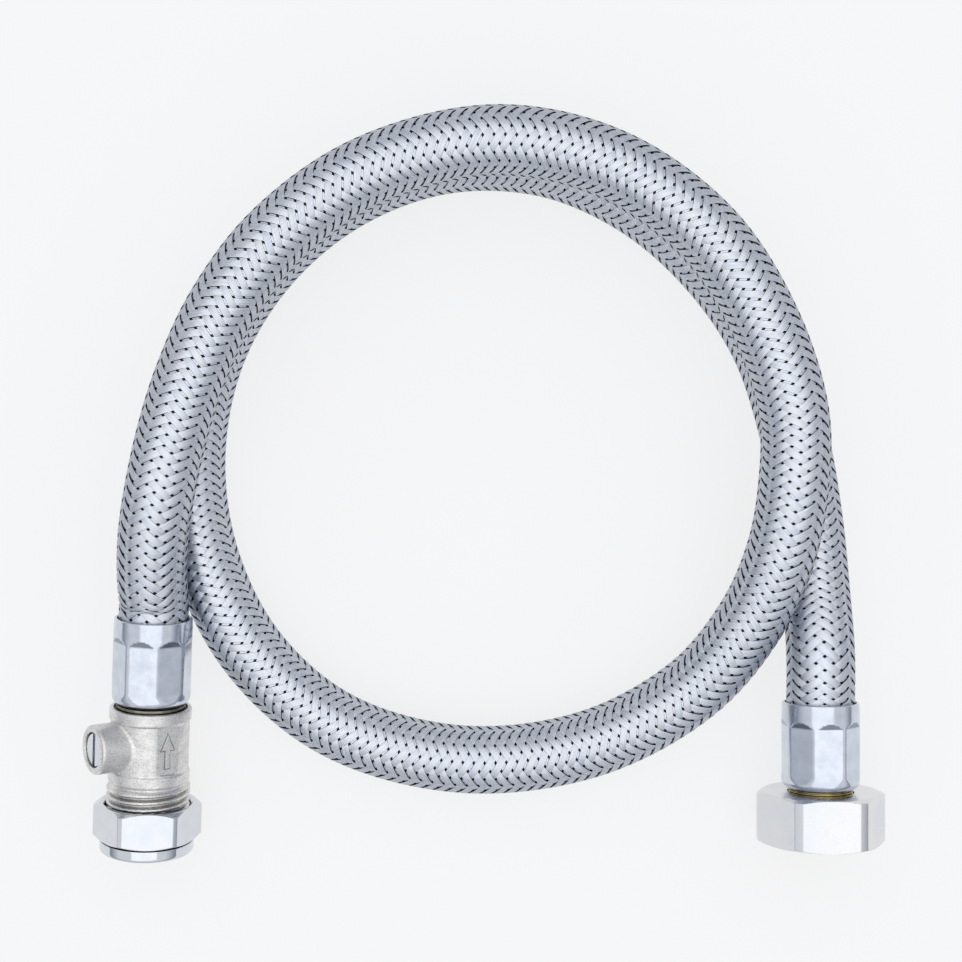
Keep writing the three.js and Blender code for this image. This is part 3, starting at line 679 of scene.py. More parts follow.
def arrow_points():
    place = valve_place @ Matrix.Rotation(PANEL_TURN - math.pi / 2, 4, "Z")
    points = []
    for lift, inset in ARROW_LEVELS:
        points += [place @ Vector((x, PANEL_R + lift, z)) for x, z in arrow_outline(inset)]
    return np.array(points)


arrow_foot = list(range(len(arrow_outline(0))))
arrow_top = [(len(ARROW_LEVELS) - 1) * len(arrow_foot) + corner for corner in arrow_foot]
arrow_faces = grid_faces(len(ARROW_LEVELS), len(arrow_foot), False)
arrow = add_piece("arrow", arrow_points(), arrow_faces, [arrow_foot, arrow_top[::-1]])
print("arrow faces", len(arrow.data.polygons))

# %% [markdown]
# The boss and the arrow are one metal with the body, so they are joined to it with a boolean
# rather than left as pieces that pass through each other. A plug the size of the stem's bore is
# then cut out, so that the stem sits in a real hole.

# %% Join them to the body
PLUG_START = 5.2


def combine(base, tool, operation):
    modifier = base.modifiers.new(tool.name, "BOOLEAN")
    modifier.operation = operation
    modifier.solver = "MANIFOLD"
    modifier.object = tool
    bpy.context.view_layer.update()
    result = bpy.data.meshes.new_from_object(base.evaluated_get(bpy.context.evaluated_depsgraph_get()))
    base.modifiers.clear()
    base.data = result
    bpy.data.objects.remove(tool)
    base.data.shade_smooth()
    base.data.set_sharp_from_angle(angle=math.radians(32))


plug_outline = [(STEM_BORE_R, PLUG_START), (STEM_BORE_R, BOSS_REACH + 1)]
plug = turned("plug", plug_outline, stem_place, boss_turns, loop=False)
combine(valve_body, boss, "UNION")
combine(valve_body, arrow, "UNION")
combine(valve_body, plug, "DIFFERENCE")
print("joined body faces", len(valve_body.data.polygons))

# %% [markdown]
# ## The stem
# A quarter turn of a screwdriver turns this stem and the ball. It is fitted from inside, so a
# flange keeps it in, and its slotted end lies just below the rim of the boss. It is turned like the
# rest, and one box cuts the slot while another adds the tongue that drives the ball.

# %% Turn and slot the stem
STEM_END = BOSS_REACH - 0.4
STEM_R = 4.1
STEM_FLANGE_R = 5.0
RING_GROOVE_R = 3.175
SLOT_SIZE = (12, 1.3, 2.8)
TONGUE_SIZE = (5.4, 2.2, 3.2)
TONGUE_AT = 5.9
NEAR_AXIS = 0.02
stem_outline = [
    (NEAR_AXIS, 6.5),
    (STEM_FLANGE_R, 6.5, 0.1),
    (STEM_FLANGE_R, 7.7, 0.1),
    (STEM_R, 7.7),
    *[(STEM_R, 9.5), (RING_GROOVE_R, 9.5), (RING_GROOVE_R, 10.9), (STEM_R, 10.9)],
    *[(STEM_R, 11.5), (RING_GROOVE_R, 11.5), (RING_GROOVE_R, 12.9), (STEM_R, 12.9)],
    (STEM_R, STEM_END, 0.3),
    (NEAR_AXIS, STEM_END),
]


def box_at(name, size, centre, place):
    half = Vector(size) / 2
    corners = [(x, y, z) for z in (-1, 1) for x, y in ((-1, -1), (1, -1), (1, 1), (-1, 1))]
    points = np.array([place @ (Vector(centre) + Vector(corner) * half) for corner in corners])
    return add_piece(name, points, grid_faces(2, 4, False), [[0, 1, 2, 3], [7, 6, 5, 4]])


stem_turns = even_turns(96)
stem = turned("stem_fine", stem_outline, stem_place, stem_turns, None, 0.6, False, "closing_unit")
combine(stem, box_at("slot", SLOT_SIZE, (0, 0, STEM_END), stem_place), "DIFFERENCE")
combine(stem, box_at("tongue", TONGUE_SIZE, (0, 0, TONGUE_AT), stem_place), "UNION")
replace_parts(stem, "stem")
print("stem faces", len(stem.data.polygons))

# %% [markdown]
# ## The two hexagon nuts
# A nut is a hexagonal bar turned at its ends, so each flat ends in a shallow arc where the turned
# cone cuts it. That arc appears by itself when each ring of the turned outline is held inside a
# hexagon: the smaller of the two radii wins. The corners get a small round edge.

# %% Hold rings inside a hexagon
FROM_CORNER = np.array([0, 0.4, 0.8, 1.3, 2.0, 2.8, 3.4, 4.0, 4.6, 5.2])
ALONG_FLAT = 1.5


def hex_turns():
    between = np.arange(FROM_CORNER[-1] + ALONG_FLAT, 60 - FROM_CORNER[-1], ALONG_FLAT)
    one = np.concatenate([-FROM_CORNER[:0:-1], FROM_CORNER, between])
    return np.radians(np.concatenate([one + 60 * corner for corner in range(6)]))


def hexagon_limit(turns, flats, corner_round, roll):
    offset = np.abs((turns - roll + math.pi / 6) % (math.pi / 3) - math.pi / 6)
    flat = flats / 2 / np.cos(math.pi / 6 - offset)
    centre = (flats / 2 - corner_round) / math.cos(math.pi / 6)
    inner = np.clip(corner_round**2 - (centre * np.sin(offset)) ** 2, 0, None)
    arc = centre * np.cos(offset) + np.sqrt(inner)
    last = math.atan2(corner_round * 0.5, centre + corner_round * math.cos(math.pi / 6))
    return np.where(offset < last, arc, flat)


print("turns round a nut", len(hex_turns()))

# %% [markdown]
# ## The compression nut
# This nut squeezes the olive onto the copper pipe. It is chrome plated and bright, with a plain
# round collar at its outer end. It rides on its own body, because it screws off the valve.

# %% Make the compression nut
NUT_START = 47.2
HEX_END = 56.4
NUT_END = 59.7
NUT_ROLL = math.radians(-11.6)
NUT_FLATS = 24
NUT_CORNER_R = 13.5
NUT_CORNER_ROUND = 0.5
NUT_FACE_R = 12.0
NUT_CHAMFER = 0.9
NUT_GROOVE_R = 11.3
NUT_COLLAR_R = 11.8
NUT_MOUTH_R = 7.8
NUT_BORE_R = 10.75
NUT_BORE_END = 55.2
OLIVE_SEAT_R = 9.275
OLIVE_SEAT_END = 58.15


def nut_shape(turns, radius, along):
    limit = hexagon_limit(turns, NUT_FLATS, NUT_CORNER_ROUND, NUT_ROLL)
    return np.where(along < HEX_END + 0.05, np.minimum(radius, limit), radius)


nut_outline = [
    (NUT_BORE_R + 0.5, NUT_START, 0.1),
    (NUT_FACE_R, NUT_START, 0.25),
    (NUT_CORNER_R, NUT_START + NUT_CHAMFER, 0.2),
    (NUT_CORNER_R, HEX_END - NUT_CHAMFER, 0.2),
    (NUT_FACE_R, HEX_END - 0.1, 0.2),
    (NUT_GROOVE_R, HEX_END - 0.05, 0.05),
    (NUT_GROOVE_R, HEX_END + 0.25, 0.05),
    (NUT_COLLAR_R, HEX_END + 0.35, 0.1),
    (NUT_COLLAR_R, NUT_END, 0.9),
    (NUT_MOUTH_R, NUT_END, 0.4),
    (NUT_MOUTH_R, OLIVE_SEAT_END),
    (OLIVE_SEAT_R, NUT_BORE_END),
    (NUT_BORE_R, NUT_BORE_END),
    (NUT_BORE_R, NUT_START + 0.5),
]
nut_turns = hex_turns() + NUT_ROLL
valve_nut = turned(
    "compression_nut_fine", nut_outline, valve_place, nut_turns, nut_shape, 0.3, ride="compression_nut"
)
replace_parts(valve_nut, "compression_nut")
print("compression nut faces", len(valve_nut.data.polygons))

# %% [markdown]
# ## The swivel nut
# The larger nut turns freely on the tail and draws its washer onto the tap. Its inside thread
# shows from the open end, so the bore gets a helix in the same way as the body's thread.

# %% Make the swivel nut
SWIVEL_START = 22.55
SWIVEL_END = 35.45
SWIVEL_FLATS = 29
SWIVEL_CORNER_R = 16.1
SWIVEL_FACE_R = 14.5
SWIVEL_CHAMFER = 0.6
SWIVEL_THREAD_R = 12.4
SWIVEL_THREAD_DEPTH = 0.75
SWIVEL_THREAD_FROM = 5.8
SWIVEL_THREAD_FADE = 0.8
SWIVEL_CORNER_ROUND = 0.4
BORE_TOLERANCE = 0.02
SWIVEL_BACK_WALL = 2.2
SWIVEL_HOLE_R = 8.3


def swivel_shape(turns, radius, along):
    outside = np.minimum(radius, hexagon_limit(turns, SWIVEL_FLATS, SWIVEL_CORNER_ROUND, 0))
    thread_ends = SWIVEL_START + SWIVEL_THREAD_FROM, SWIVEL_END - SWIVEL_CHAMFER
    fade = faded(along, *thread_ends, SWIVEL_THREAD_FADE, SWIVEL_THREAD_FADE)
    in_bore = np.abs(radius - SWIVEL_THREAD_R) < BORE_TOLERANCE
    cut = thread_wave(turns, along) * SWIVEL_THREAD_DEPTH * fade
    return np.where(in_bore, radius + cut, outside)


swivel_outline = [
    (SWIVEL_HOLE_R, SWIVEL_START, 0.2),
    (SWIVEL_FACE_R, SWIVEL_START, 0.3),
    (SWIVEL_CORNER_R, SWIVEL_START + SWIVEL_CHAMFER, 0.2),
    (SWIVEL_CORNER_R, SWIVEL_END - SWIVEL_CHAMFER, 0.2),
    (SWIVEL_FACE_R, SWIVEL_END, 0.3),
    (SWIVEL_THREAD_R + SWIVEL_CHAMFER, SWIVEL_END, 0.1),
    (SWIVEL_THREAD_R, SWIVEL_END - SWIVEL_CHAMFER),
    (SWIVEL_THREAD_R, SWIVEL_START + SWIVEL_BACK_WALL),
    (SWIVEL_HOLE_R, SWIVEL_START + SWIVEL_BACK_WALL),
]
swivel_nut = turned(
    "swivel_nut_fine", swivel_outline, tap_place, hex_turns(), swivel_shape, 0.3, ride="swivel_nut"
)
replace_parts(swivel_nut, "swivel_nut")
print("swivel nut faces", len(swivel_nut.data.polygons))

# %% [markdown]
# ## Tails, washer, olive and seal
# Inside each ferrule a barbed brass tail grips the rubber. Only a ring of the tap tail's brass
# shows, between its ferrule and the nut, but the washer and the olive can be seen through the open
# nuts, so all of them are turned finely. They are plain turned outlines with no extra shaping.

# %% Turn the small pieces
TAIL_BORE = 5.02
TAIL_R = 5.92
TAIL_END = 20.6
TAIL_NECK_R = 7.0
TAIL_FLANGE_R = 11.2
BARB_R = 6.22
BARB_STARTS = (2.2, 6.4, 10.6, 14.8)
BARB_RISE = 3.0
BARB_END = 3.6


def barbs():
    outline = [(TAIL_BORE, 0.6, 0.1), (5.5, 0.6, 0.1)]
    for start in BARB_STARTS:
        rise = (TAIL_R, start), (BARB_R, start + BARB_RISE, 0.1)
        drop = (BARB_R, start + BARB_END, 0.1), (TAIL_R, start + BARB_END)
        outline += [*rise, *drop]
    return [*outline, (TAIL_R, TAIL_END), (TAIL_NECK_R, TAIL_END)]


tap_tail_outline = [
    *barbs(),
    (TAIL_NECK_R, 21.95),
    (7.4, 21.95),
    (7.4, 22.1),
    (8.05, 22.15, 0.05),
    (8.05, 22.4, 0.05),
    (7.4, 22.45),
    (7.4, 22.7),
    (8.0, 22.8, 0.05),
    (8.0, 25.05),
    (TAIL_FLANGE_R, 25.05, 0.2),
    (TAIL_FLANGE_R, 27.05, 0.2),
    (TAIL_BORE, 27.05, 0.3),
]
washer_outline = [(6.5, 27.35, 0.2), (11.7, 27.35, 0.2), (11.7, 29.35, 0.2), (6.5, 29.35, 0.2)]
olive_outline = [
    (7.625, 52.6),
    (7.975, 52.6, 0.1),
    (8.925, 54.6, 0.3),
    (8.925, 55.2, 0.3),
    (7.975, 57.2, 0.1),
    (7.625, 57.2),
]
seal_outline = [(7.9, 22.85, 0.1), (8.9, 22.85, 0.2), (8.9, 23.45, 0.2), (7.9, 23.45, 0.1)]
small_pieces = [
    ("tap_tail", "bare_brass", tap_tail_outline, tap_place, "hose_assembly"),
    ("tap_washer", "fibre_washer", washer_outline, tap_place, "hose_assembly"),
    ("olive", "bare_brass", olive_outline, valve_place, "olive"),
    ("valve_tail_seal", "seal_rubber", seal_outline, valve_place, "hose_assembly"),
]
for node, slot_name, outline, place, body in small_pieces:
    small = turned(node + "_fine", outline, place, even_turns(120), spacing=0.5, ride=body)
    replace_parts(small, node)
print("small pieces", len(small_pieces))

# %% [markdown]
# ## Building blocks for the finishes
# Two effects return in several metals: cloudy patches with a fine grain, and the rings that a lathe
# leaves. Each is a node group with named inputs and outputs, so every metal can use it with its
# own numbers. Small helpers make such groups and keep the wiring short.

# %% Helpers for node groups
def new_group(name, inputs, outputs):
    group = bpy.data.node_groups.new(name, "ShaderNodeTree")
    for label, kind, default in inputs:
        socket = group.interface.new_socket(label, in_out="INPUT", socket_type="NodeSocket" + kind)
        socket.default_value = default
    for label, kind in outputs:
        group.interface.new_socket(label, in_out="OUTPUT", socket_type="NodeSocket" + kind)
    return group, group.nodes.new("NodeGroupInput"), group.nodes.new("NodeGroupOutput")


def add_node(tree, kind, settings=(), **inputs):
    node = tree.nodes.new("ShaderNode" + kind)
    for key, value in dict(settings).items():
        setattr(node, key, value)
    for label, value in inputs.items():
        numbered = label[0] == "i" and label[1:].isdigit()
        socket = node.inputs[int(label[1:]) if numbered else label]
        if isinstance(value, bpy.types.NodeSocket):
            tree.links.new(value, socket)
        else:
            socket.default_value = value
    return node


def calculate(tree, operation, first, second=0.0, third=0.0):
    return add_node(tree, "Math", {"operation": operation}, i0=first, i1=second, i2=third).outputs[0]


def product(tree, first, *others):
    for other in others:
        first = calculate(tree, "MULTIPLY", first, other)
    return first


def ramp(tree, value, start, end, low=0.0, high=1.0):
    limits = {"From Min": start, "From Max": end, "To Min": low, "To Max": high}
    return add_node(tree, "MapRange", Value=value, **limits).outputs[0]


def blend_colours(tree, factor, first, second):
    return add_node(tree, "Mix", {"data_type": "RGBA"}, i0=factor, i6=first, i7=second).outputs[2]


def stored(tree, label):
    return add_node(tree, "Attribute", {"attribute_name": label}).outputs["Fac"]


print("node helpers ready")

# %% [markdown]
# ### Cloudy plate
# Plated metal is never one even mirror. Broad soft patches differ a little in tone and polish, and
# a fine grain breaks the highlight. Two noises at very different sizes give both.

# %% Cloudy plate group
cloudy, given, result = new_group(
    "cloudy plate",
    [
        ("Colour", "Color", (0.8, 0.8, 0.8, 1)),
        ("Patch Colour", "Color", (0.6, 0.6, 0.6, 1)),
        ("Patch Size", "Float", 300.0),
        ("Grain Size", "Float", 4000.0),
        ("Polished", "Float", 0.1),
        ("Dull", "Float", 0.3),
        ("Speckle", "Float", 0.0),
    ],
    [("Colour", "Color"), ("Roughness", "Float"), ("Grain", "Float")],
)
spot = add_node(cloudy, "TexCoord").outputs["Object"]
patches = add_node(cloudy, "TexNoise", Vector=spot, Scale=given.outputs["Patch Size"], Detail=4.0)
grain = add_node(cloudy, "TexNoise", Vector=spot, Scale=given.outputs["Grain Size"], Detail=3.0)
patch_mask = ramp(cloudy, patches.outputs[0], 0.35, 0.65)
tone = blend_colours(cloudy, patch_mask, given.outputs["Colour"], given.outputs["Patch Colour"])
pits = ramp(cloudy, grain.outputs[0], 0.52, 0.36)
pitted = product(cloudy, pits, given.outputs["Speckle"])
tone = blend_colours(cloudy, pitted, tone, (0.2, 0.2, 0.2, 1))
polish = ramp(cloudy, patch_mask, 0.0, 1.0, given.outputs["Polished"], given.outputs["Dull"])
cloudy.links.new(tone, result.inputs["Colour"])
cloudy.links.new(polish, result.inputs["Roughness"])
cloudy.links.new(grain.outputs[0], result.inputs["Grain"])
print("group", cloudy.name)

# %% [markdown]
# ### Lathe rings
# A cutting tool leaves fine rings round the axis. Each turned mesh stores how far along its outline
# a point lies, so a one-dimensional noise of that distance is the same all the way round.

# %% Lathe rings group
spacing = [("Rings per mm", "Float", 6.0)]
rings_group, given, result = new_group("lathe rings", spacing, [("Height", "Float")])
scaled = product(rings_group, stored(rings_group, "lathe"), given.outputs["Rings per mm"])
one_way = {"noise_dimensions": "1D"}
ring_noise = add_node(rings_group, "TexNoise", one_way, W=scaled, Scale=1.0, Detail=3.0)
rings_group.links.new(ring_noise.outputs[0], result.inputs["Height"])
print("group", rings_group.name)

# %% [markdown]
# ## Plated and bare metals
# All the fittings' metals share one recipe: cloudy plate for colour and polish, lathe rings and
# grain for the bump. What differs is in the numbers: the forged body is grainy and satin, the nut
# beside it is nearly a mirror, and the ferrules are bright steel with a blue cast. The four numbers
# are the roughness of the polished and the dull patches and the strength of the grain and rings.

# %% Make the metals
GRAIN_DEPTH = 0.0002
FINE_DEPTH = 0.00005


def new_material(name, metallic):
    material = bpy.data.materials.new(name)
    material.use_nodes = True
    shader = material.node_tree.nodes["Principled BSDF"]
    shader.inputs["Metallic"].default_value = metallic
    return material, material.node_tree, shader


def add_plate(tree, shader, **settings):
    plate = add_node(tree, "Group", {"node_tree": cloudy})
    for label, value in settings.items():
        plate.inputs[label.replace("_", " ")].default_value = value
    tree.links.new(plate.outputs["Colour"], shader.inputs["Base Color"])
    tree.links.new(plate.outputs["Roughness"], shader.inputs["Roughness"])
    return plate.outputs["Grain"]


def metal(name, colour, patch, polished, dull, grain, rings, **more):
    material, tree, shader = new_material(name, 1)
    colours = {"Colour": (*colour, 1), "Patch_Colour": (*patch, 1)}
    height = add_plate(tree, shader, Polished=polished, Dull=dull, **colours, **more)
    cut = add_node(tree, "Group", {"node_tree": rings_group}).outputs["Height"]
    rough = add_node(tree, "Bump", Strength=grain, Distance=GRAIN_DEPTH, Height=height).outputs[0]
    fine = add_node(tree, "Bump", Strength=rings, Distance=FINE_DEPTH, Height=cut, Normal=rough)
    tree.links.new(fine.outputs[0], shader.inputs["Normal"])
    return material


forged = {"Patch_Size": 350.0, "Grain_Size": 2600.0, "Speckle": 0.35}
rolled = {"Patch_Size": 60.0, "Grain_Size": 2600.0, "Speckle": 0.04}
satin_nickel = metal(
    "satin nickel", (0.80, 0.79, 0.78), (0.70, 0.69, 0.68), 0.28, 0.42, 0.5, 0.1, **forged
)
bright_chrome = metal("bright chrome", (0.70, 0.72, 0.75), (0.66, 0.69, 0.73), 0.06, 0.14, 0.01, 0.04)
ferrule_steel = metal("ferrule steel", (0.65, 0.69, 0.76), (0.57, 0.61, 0.69), 0.1, 0.2, 0.015, 0.04)
nut_plate = metal(
    "nut plate", (0.74, 0.74, 0.74), (0.70, 0.73, 0.77), 0.16, 0.3, 0.06, 0.12, **rolled
)
bare_brass = metal("bare brass", (0.50, 0.40, 0.19), (0.40, 0.31, 0.15), 0.12, 0.25, 0.03, 0.3)
# Painted shade: a darker, greyer copy of brass for the valve tail's shoulder, which shows only in the
# narrow shaded gap below the valve ferrule.
shaded_brass = metal("shaded brass", (0.34, 0.32, 0.26), (0.24, 0.22, 0.17), 0.3, 0.45, 0.05, 0.3)
ball_chrome = metal("ball chrome", (0.82, 0.82, 0.83), (0.76, 0.76, 0.78), 0.04, 0.1, 0.005, 0.02)
print("metals made:", bare_brass.name, shaded_brass.name, ball_chrome.name)

# %% [markdown]
# Three of the metals get painted shade in places. On the ferrules, the arched top of each flat, where
# the jaw's slope rises to the round mouth, is painted darker as the shade of that arch. The body's
# thread was cut after casting, so it is polished smoother than the forging, and its roots are painted
# darker as shade. Painted shade also darkens the slopes round the arrow, and the groove between the
# compression nut's flats and its collar is painted near black as shade. The places on the valve are
# found in millimetres along the valve's axis, away from it and over the arrow's flat, because a
# boolean may drop stored values.

# %% Paint shade on the ferrule arches, thread roots, arrow slopes and nut groove
GROOVE_HALF = 0.32
THREAD_POLISH = 0.45


def paint_shade(material, mask, colour):
    tree = material.node_tree
    base = tree.nodes["Principled BSDF"].inputs["Base Color"]
    tree.links.new(blend_colours(tree, mask, base.links[0].from_socket, (*colour, 1)), base)


def vector_work(tree, operation, **inputs):
    return add_node(tree, "VectorMath", {"operation": operation}, **inputs).outputs


def towards(tree, offset, way):
    return vector_work(tree, "DOT_PRODUCT", i0=offset, i1=way)["Value"]


def valve_coordinates(tree):
    spot = add_node(tree, "TexCoord").outputs["Object"]
    from_mouth = vector_work(tree, "SUBTRACT", i0=spot, i1=valve_mouth)[0]
    offset = vector_work(tree, "SCALE", i0=from_mouth, Scale=1 / MM)[0]
    axis = valve_turn.col[2].to_3d()
    across = vector_work(tree, "CROSS_PRODUCT", i0=offset, i1=axis)[0]
    return offset, towards(tree, offset, axis), vector_work(tree, "LENGTH", i0=across)["Value"]


def within(tree, value, middle, half):
    away = calculate(tree, "ABSOLUTE", calculate(tree, "SUBTRACT", value, middle))
    return calculate(tree, "LESS_THAN", away, half)


steel = ferrule_steel.node_tree
# Painted shade: the arched top of each ferrule flat is darkened as the shade of the arch.
paint_shade(ferrule_steel, product(steel, stored(steel, "jaw"), 0.75), (0.15, 0.17, 0.23))

chrome = bright_chrome.node_tree
_, along, radius = valve_coordinates(chrome)
# Painted shade: the groove between the compression nut's flats and its collar is painted near black.
deep = ramp(chrome, radius, NUT_COLLAR_R - 0.02, NUT_COLLAR_R - 0.15)
groove = within(chrome, along, HEX_END + 0.1, GROOVE_HALF)
paint_shade(bright_chrome, product(chrome, deep, groove, 0.9), (0.02, 0.02, 0.03))

nickel = satin_nickel.node_tree
offset, along, radius = valve_coordinates(nickel)
cut = ramp(nickel, along, THREAD_START + 0.8, THREAD_START + 1.4)
# Painted shade: the thread roots are painted darker.
root = ramp(nickel, radius, THREAD_R - 0.1, THREAD_R - 0.85)
paint_shade(satin_nickel, product(nickel, cut, root, 0.4), (0.11, 0.10, 0.09))
roughness = nickel.nodes["Principled BSDF"].inputs["Roughness"]
polish = ramp(nickel, cut, 0, 1, 1, THREAD_POLISH)
nickel.links.new(product(nickel, roughness.links[0].from_socket, polish), roughness)
# Painted shade: the slopes round the arrow are painted darker as its outline.
facing = (valve_turn @ Vector((math.cos(PANEL_TURN), math.sin(PANEL_TURN), 0, 0))).to_3d()
height = towards(nickel, offset, facing)
foot = ramp(nickel, height, PANEL_R + 0.03, PANEL_R + 0.07)
below_top = ramp(nickel, height, PANEL_R + 0.42, PANEL_R + 0.34)
near_arrow = within(nickel, along, arrow_middle, ARROW_LENGTH / 2 + 0.8)
paint_shade(satin_nickel, product(nickel, foot, below_top, near_arrow, 0.8), (0.10, 0.10, 0.10))
print("thread begins", THREAD_START, "mm from the ferrule mouth")

# %% [markdown]
# ## Rubber, plastic and fibre
# The seals are matt and soft. One recipe serves them all: a small change of tone from a noise and
# a fine grain in the bump, with no metal.

# %% Make the soft materials
def soft(name, dark, light, roughness, grain):
    material, tree, shader = new_material(name, 0)
    colours = {"Colour": (*dark, 1), "Patch_Colour": (*light, 1)}
    polish = {"Polished": roughness - 0.08, "Dull": roughness + 0.08}
    height = add_plate(tree, shader, Patch_Size=900.0, **colours, **polish)
    bump = add_node(tree, "Bump", Strength=grain, Distance=FINE_DEPTH, Height=height)
    tree.links.new(bump.outputs[0], shader.inputs["Normal"])
    return material


hose_rubber = soft("hose rubber", (0.006, 0.006, 0.008), (0.011, 0.011, 0.013), 0.65, 0.3)
seal_rubber = soft("seal rubber", (0.012, 0.012, 0.014), (0.02, 0.02, 0.022), 0.55, 0.2)
seat_plastic = soft("seat plastic", (0.82, 0.82, 0.79), (0.86, 0.86, 0.84), 0.45, 0.1)
fibre = soft("red fibre", (0.20, 0.035, 0.025), (0.28, 0.06, 0.04), 0.75, 0.5)
print("soft materials made:", hose_rubber.name, seal_rubber.name, seat_plastic.name, fibre.name)

# %% [markdown]
# ## Braid wires
# Each ribbon is a band of about six thin steel wires side by side. They are too fine to model, so the
# ribbon's stored position across itself drives a cosine: its crests are the wires, and its troughs are
# painted darker as the shade between them. The ribbon's two edges are painted near black as shade.
# Each wire also gets its own brightness, which is what makes real braid glitter unevenly. Seen at a
# slant, wires hide one another's bright tops, so the braid darkens toward the sides of the hose.

# %% Make the braid steel
WIRES = 6.0
EDGE_START = 0.945
SIDE_SHADE = 0.6
STEEL_TONES = (0.73, 0.78, 0.90, 1), (0.98, 0.99, 1.0, 1)
WIRE_GAP_SHADE = (0.28, 0.31, 0.37, 1)
EDGE_SHADE = (0.03, 0.035, 0.05, 1)
SHADE_COLOUR = (0.10, 0.13, 0.20, 1)


def braid_steel():
    material, tree, shader = new_material("braid steel", 1)
    across = stored(tree, "across")
    wire = calculate(tree, "MULTIPLY_ADD", across, WIRES / 2, WIRES / 2)
    crest = calculate(tree, "COSINE", calculate(tree, "MULTIPLY_ADD", wire, 2 * math.pi, math.pi))
    height = calculate(tree, "MULTIPLY_ADD", crest, 0.5, 0.5)
    whole = calculate(tree, "FLOOR", wire)
    number = calculate(tree, "MULTIPLY_ADD", stored(tree, "strand"), 17.0, whole)
    stretch = product(tree, stored(tree, "along"), 0.12)
    place = add_node(tree, "CombineXYZ", X=number, Y=stretch).outputs[0]
    shine = add_node(tree, "TexNoise", Vector=place, Scale=1.0, Detail=2.0).outputs[0]
    steel = blend_colours(tree, ramp(tree, shine, 0.3, 0.7), *STEEL_TONES)
    # Painted shade: the troughs between the wires are painted darker.
    colour = blend_colours(tree, ramp(tree, height, 0.0, 0.45), WIRE_GAP_SHADE, steel)
    # Painted shade: the ribbon's two edges are painted near black.
    edge_shade = calculate(tree, "GREATER_THAN", calculate(tree, "ABSOLUTE", across), EDGE_START)
    colour = blend_colours(tree, edge_shade, colour, EDGE_SHADE)
    slant = add_node(tree, "LayerWeight", Blend=0.5).outputs["Facing"]
    colour = blend_colours(tree, product(tree, slant, SIDE_SHADE), colour, SHADE_COLOUR)
    bump = add_node(tree, "Bump", Strength=0.6, Distance=0.00006, Height=height)
    tree.links.new(colour, shader.inputs["Base Color"])
    tree.links.new(ramp(tree, shine, 0.3, 0.7, 0.24, 0.36), shader.inputs["Roughness"])
    tree.links.new(bump.outputs[0], shader.inputs["Normal"])
    return material


braid_material = braid_steel()
print("braid wires per ribbon", WIRES)

# %% [markdown]
# ## Dress every piece
# Each visible piece takes its material by name, and so do the CAD nodes that keep their own
# meshes. Every CAD node gets a finish too, even where a finer piece stands for it, so that no
# part of the frame is left bare.

# %% Give out the materials
nodes_of = {
    ferrule_steel: ("valve_ferrule", "tap_ferrule"),
    satin_nickel: ("valve_body",),
    bright_chrome: ("compression_nut",),
    nut_plate: ("stem", "swivel_nut"),
    shaded_brass: ("valve_tail",),
    bare_brass: ("tap_tail", "olive"),
    ball_chrome: ("ball",),
    seat_plastic: ("ball_seat_inlet", "ball_seat_outlet", "stem_thrust_washer"),
    seal_rubber: ("stem_o_ring_inner", "stem_o_ring_outer", "valve_tail_seal"),
    fibre: ("tap_washer",),
    hose_rubber: ("hose_liner",),
    braid_material: ("hose_braid",),
}
finishes = {node: material for material, nodes in nodes_of.items() for node in nodes}


def dress(piece, material):
    piece.data.materials.clear()
    piece.data.materials.append(material)


for node, material in finishes.items():
    dress(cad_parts[node], material)
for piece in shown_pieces():
    for node in piece.get("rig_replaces", []):
        dress(piece, finishes[node])
dress(braid_left, braid_material)

# %% [markdown]
# ## Floor and light
# The connector lies on a plain pale surface under one big soft light, which gives the hose a bright
# band along its top. Metal shows what is round it, so the world is bright overhead and darker near
# the horizon, or the sides of the hose would be as white as the floor. The floor shows partly as
# its own light, to the camera and in shiny metal, so it stays even and still keeps a faint shadow.

# %% Lay the floor
FLOOR_SIZE = (18, 18, 0.01)
FLOOR_DROP = 0.0001
GLOW = (0.955, 0.955, 0.955, 1)
GLOW_SHARE = 0.8


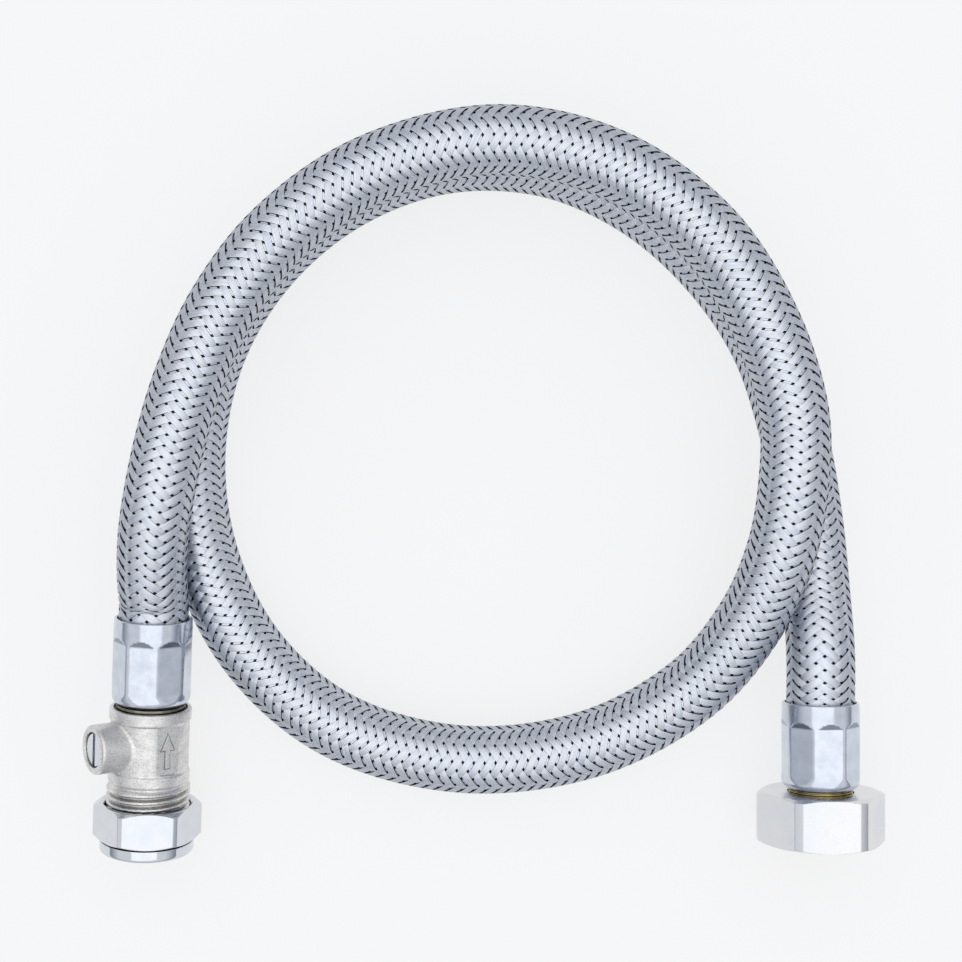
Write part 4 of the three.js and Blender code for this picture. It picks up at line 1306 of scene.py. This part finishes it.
def pale_floor():
    material, tree, shader = new_material("pale floor", 0)
    shader.inputs["Base Color"].default_value = (0.84, 0.86, 0.88, 1)
    shader.inputs["Roughness"].default_value = 0.9
    shader.inputs["Specular IOR Level"].default_value = 0
    glow = add_node(tree, "Emission", Color=GLOW, Strength=1.0).outputs[0]
    rays = add_node(tree, "LightPath").outputs
    seen = calculate(tree, "MAXIMUM", rays["Is Camera Ray"], rays["Is Glossy Ray"])
    seen = calculate(tree, "MAXIMUM", seen, rays["Is Transmission Ray"])
    share = product(tree, seen, GLOW_SHARE)
    mix = add_node(tree, "MixShader", i0=share, i1=shader.outputs[0], i2=glow)
    tree.links.new(mix.outputs[0], tree.nodes["Material Output"].inputs["Surface"])
    return material


floor = box_at("floor", FLOOR_SIZE, (0, 0, -FLOOR_SIZE[2] / 2), Matrix.Identity(4))
floor.location.z = -FLOOR_DROP
dress(floor, pale_floor())
print("floor laid", FLOOR_SIZE[0], "m wide")

# %% Light it
LAMP_POWER = 1.85
LAMP_HEIGHT = 0.8
LAMP_SIZES = (1.0, 1.2)
HORIZON = (0.18, 0.21, 0.28, 1)
OVERHEAD = (0.82, 0.83, 0.85, 1)
FULL_HEIGHT = 0.46
lamp_data = bpy.data.lights.new("softbox", "AREA")
lamp_data.shape = "RECTANGLE"
lamp_data.size, lamp_data.size_y = LAMP_SIZES
lamp_data.energy = LAMP_POWER
lamp = bpy.data.objects.new("softbox", lamp_data)
lamp.location.z = LAMP_HEIGHT
bpy.context.collection.objects.link(lamp)

world = bpy.data.worlds.new("studio")
bpy.context.scene.world = world
world.use_nodes = True
sky = world.node_tree
direction = add_node(sky, "TexCoord").outputs["Generated"]
up = add_node(sky, "SeparateXYZ", Vector=direction).outputs["Z"]
colour = blend_colours(sky, ramp(sky, up, 0.0, FULL_HEIGHT), HORIZON, OVERHEAD)
sky.links.new(colour, sky.nodes["Background"].inputs["Color"])
bpy.context.scene.view_settings.view_transform = "Standard"
print("lamp energy", LAMP_POWER)
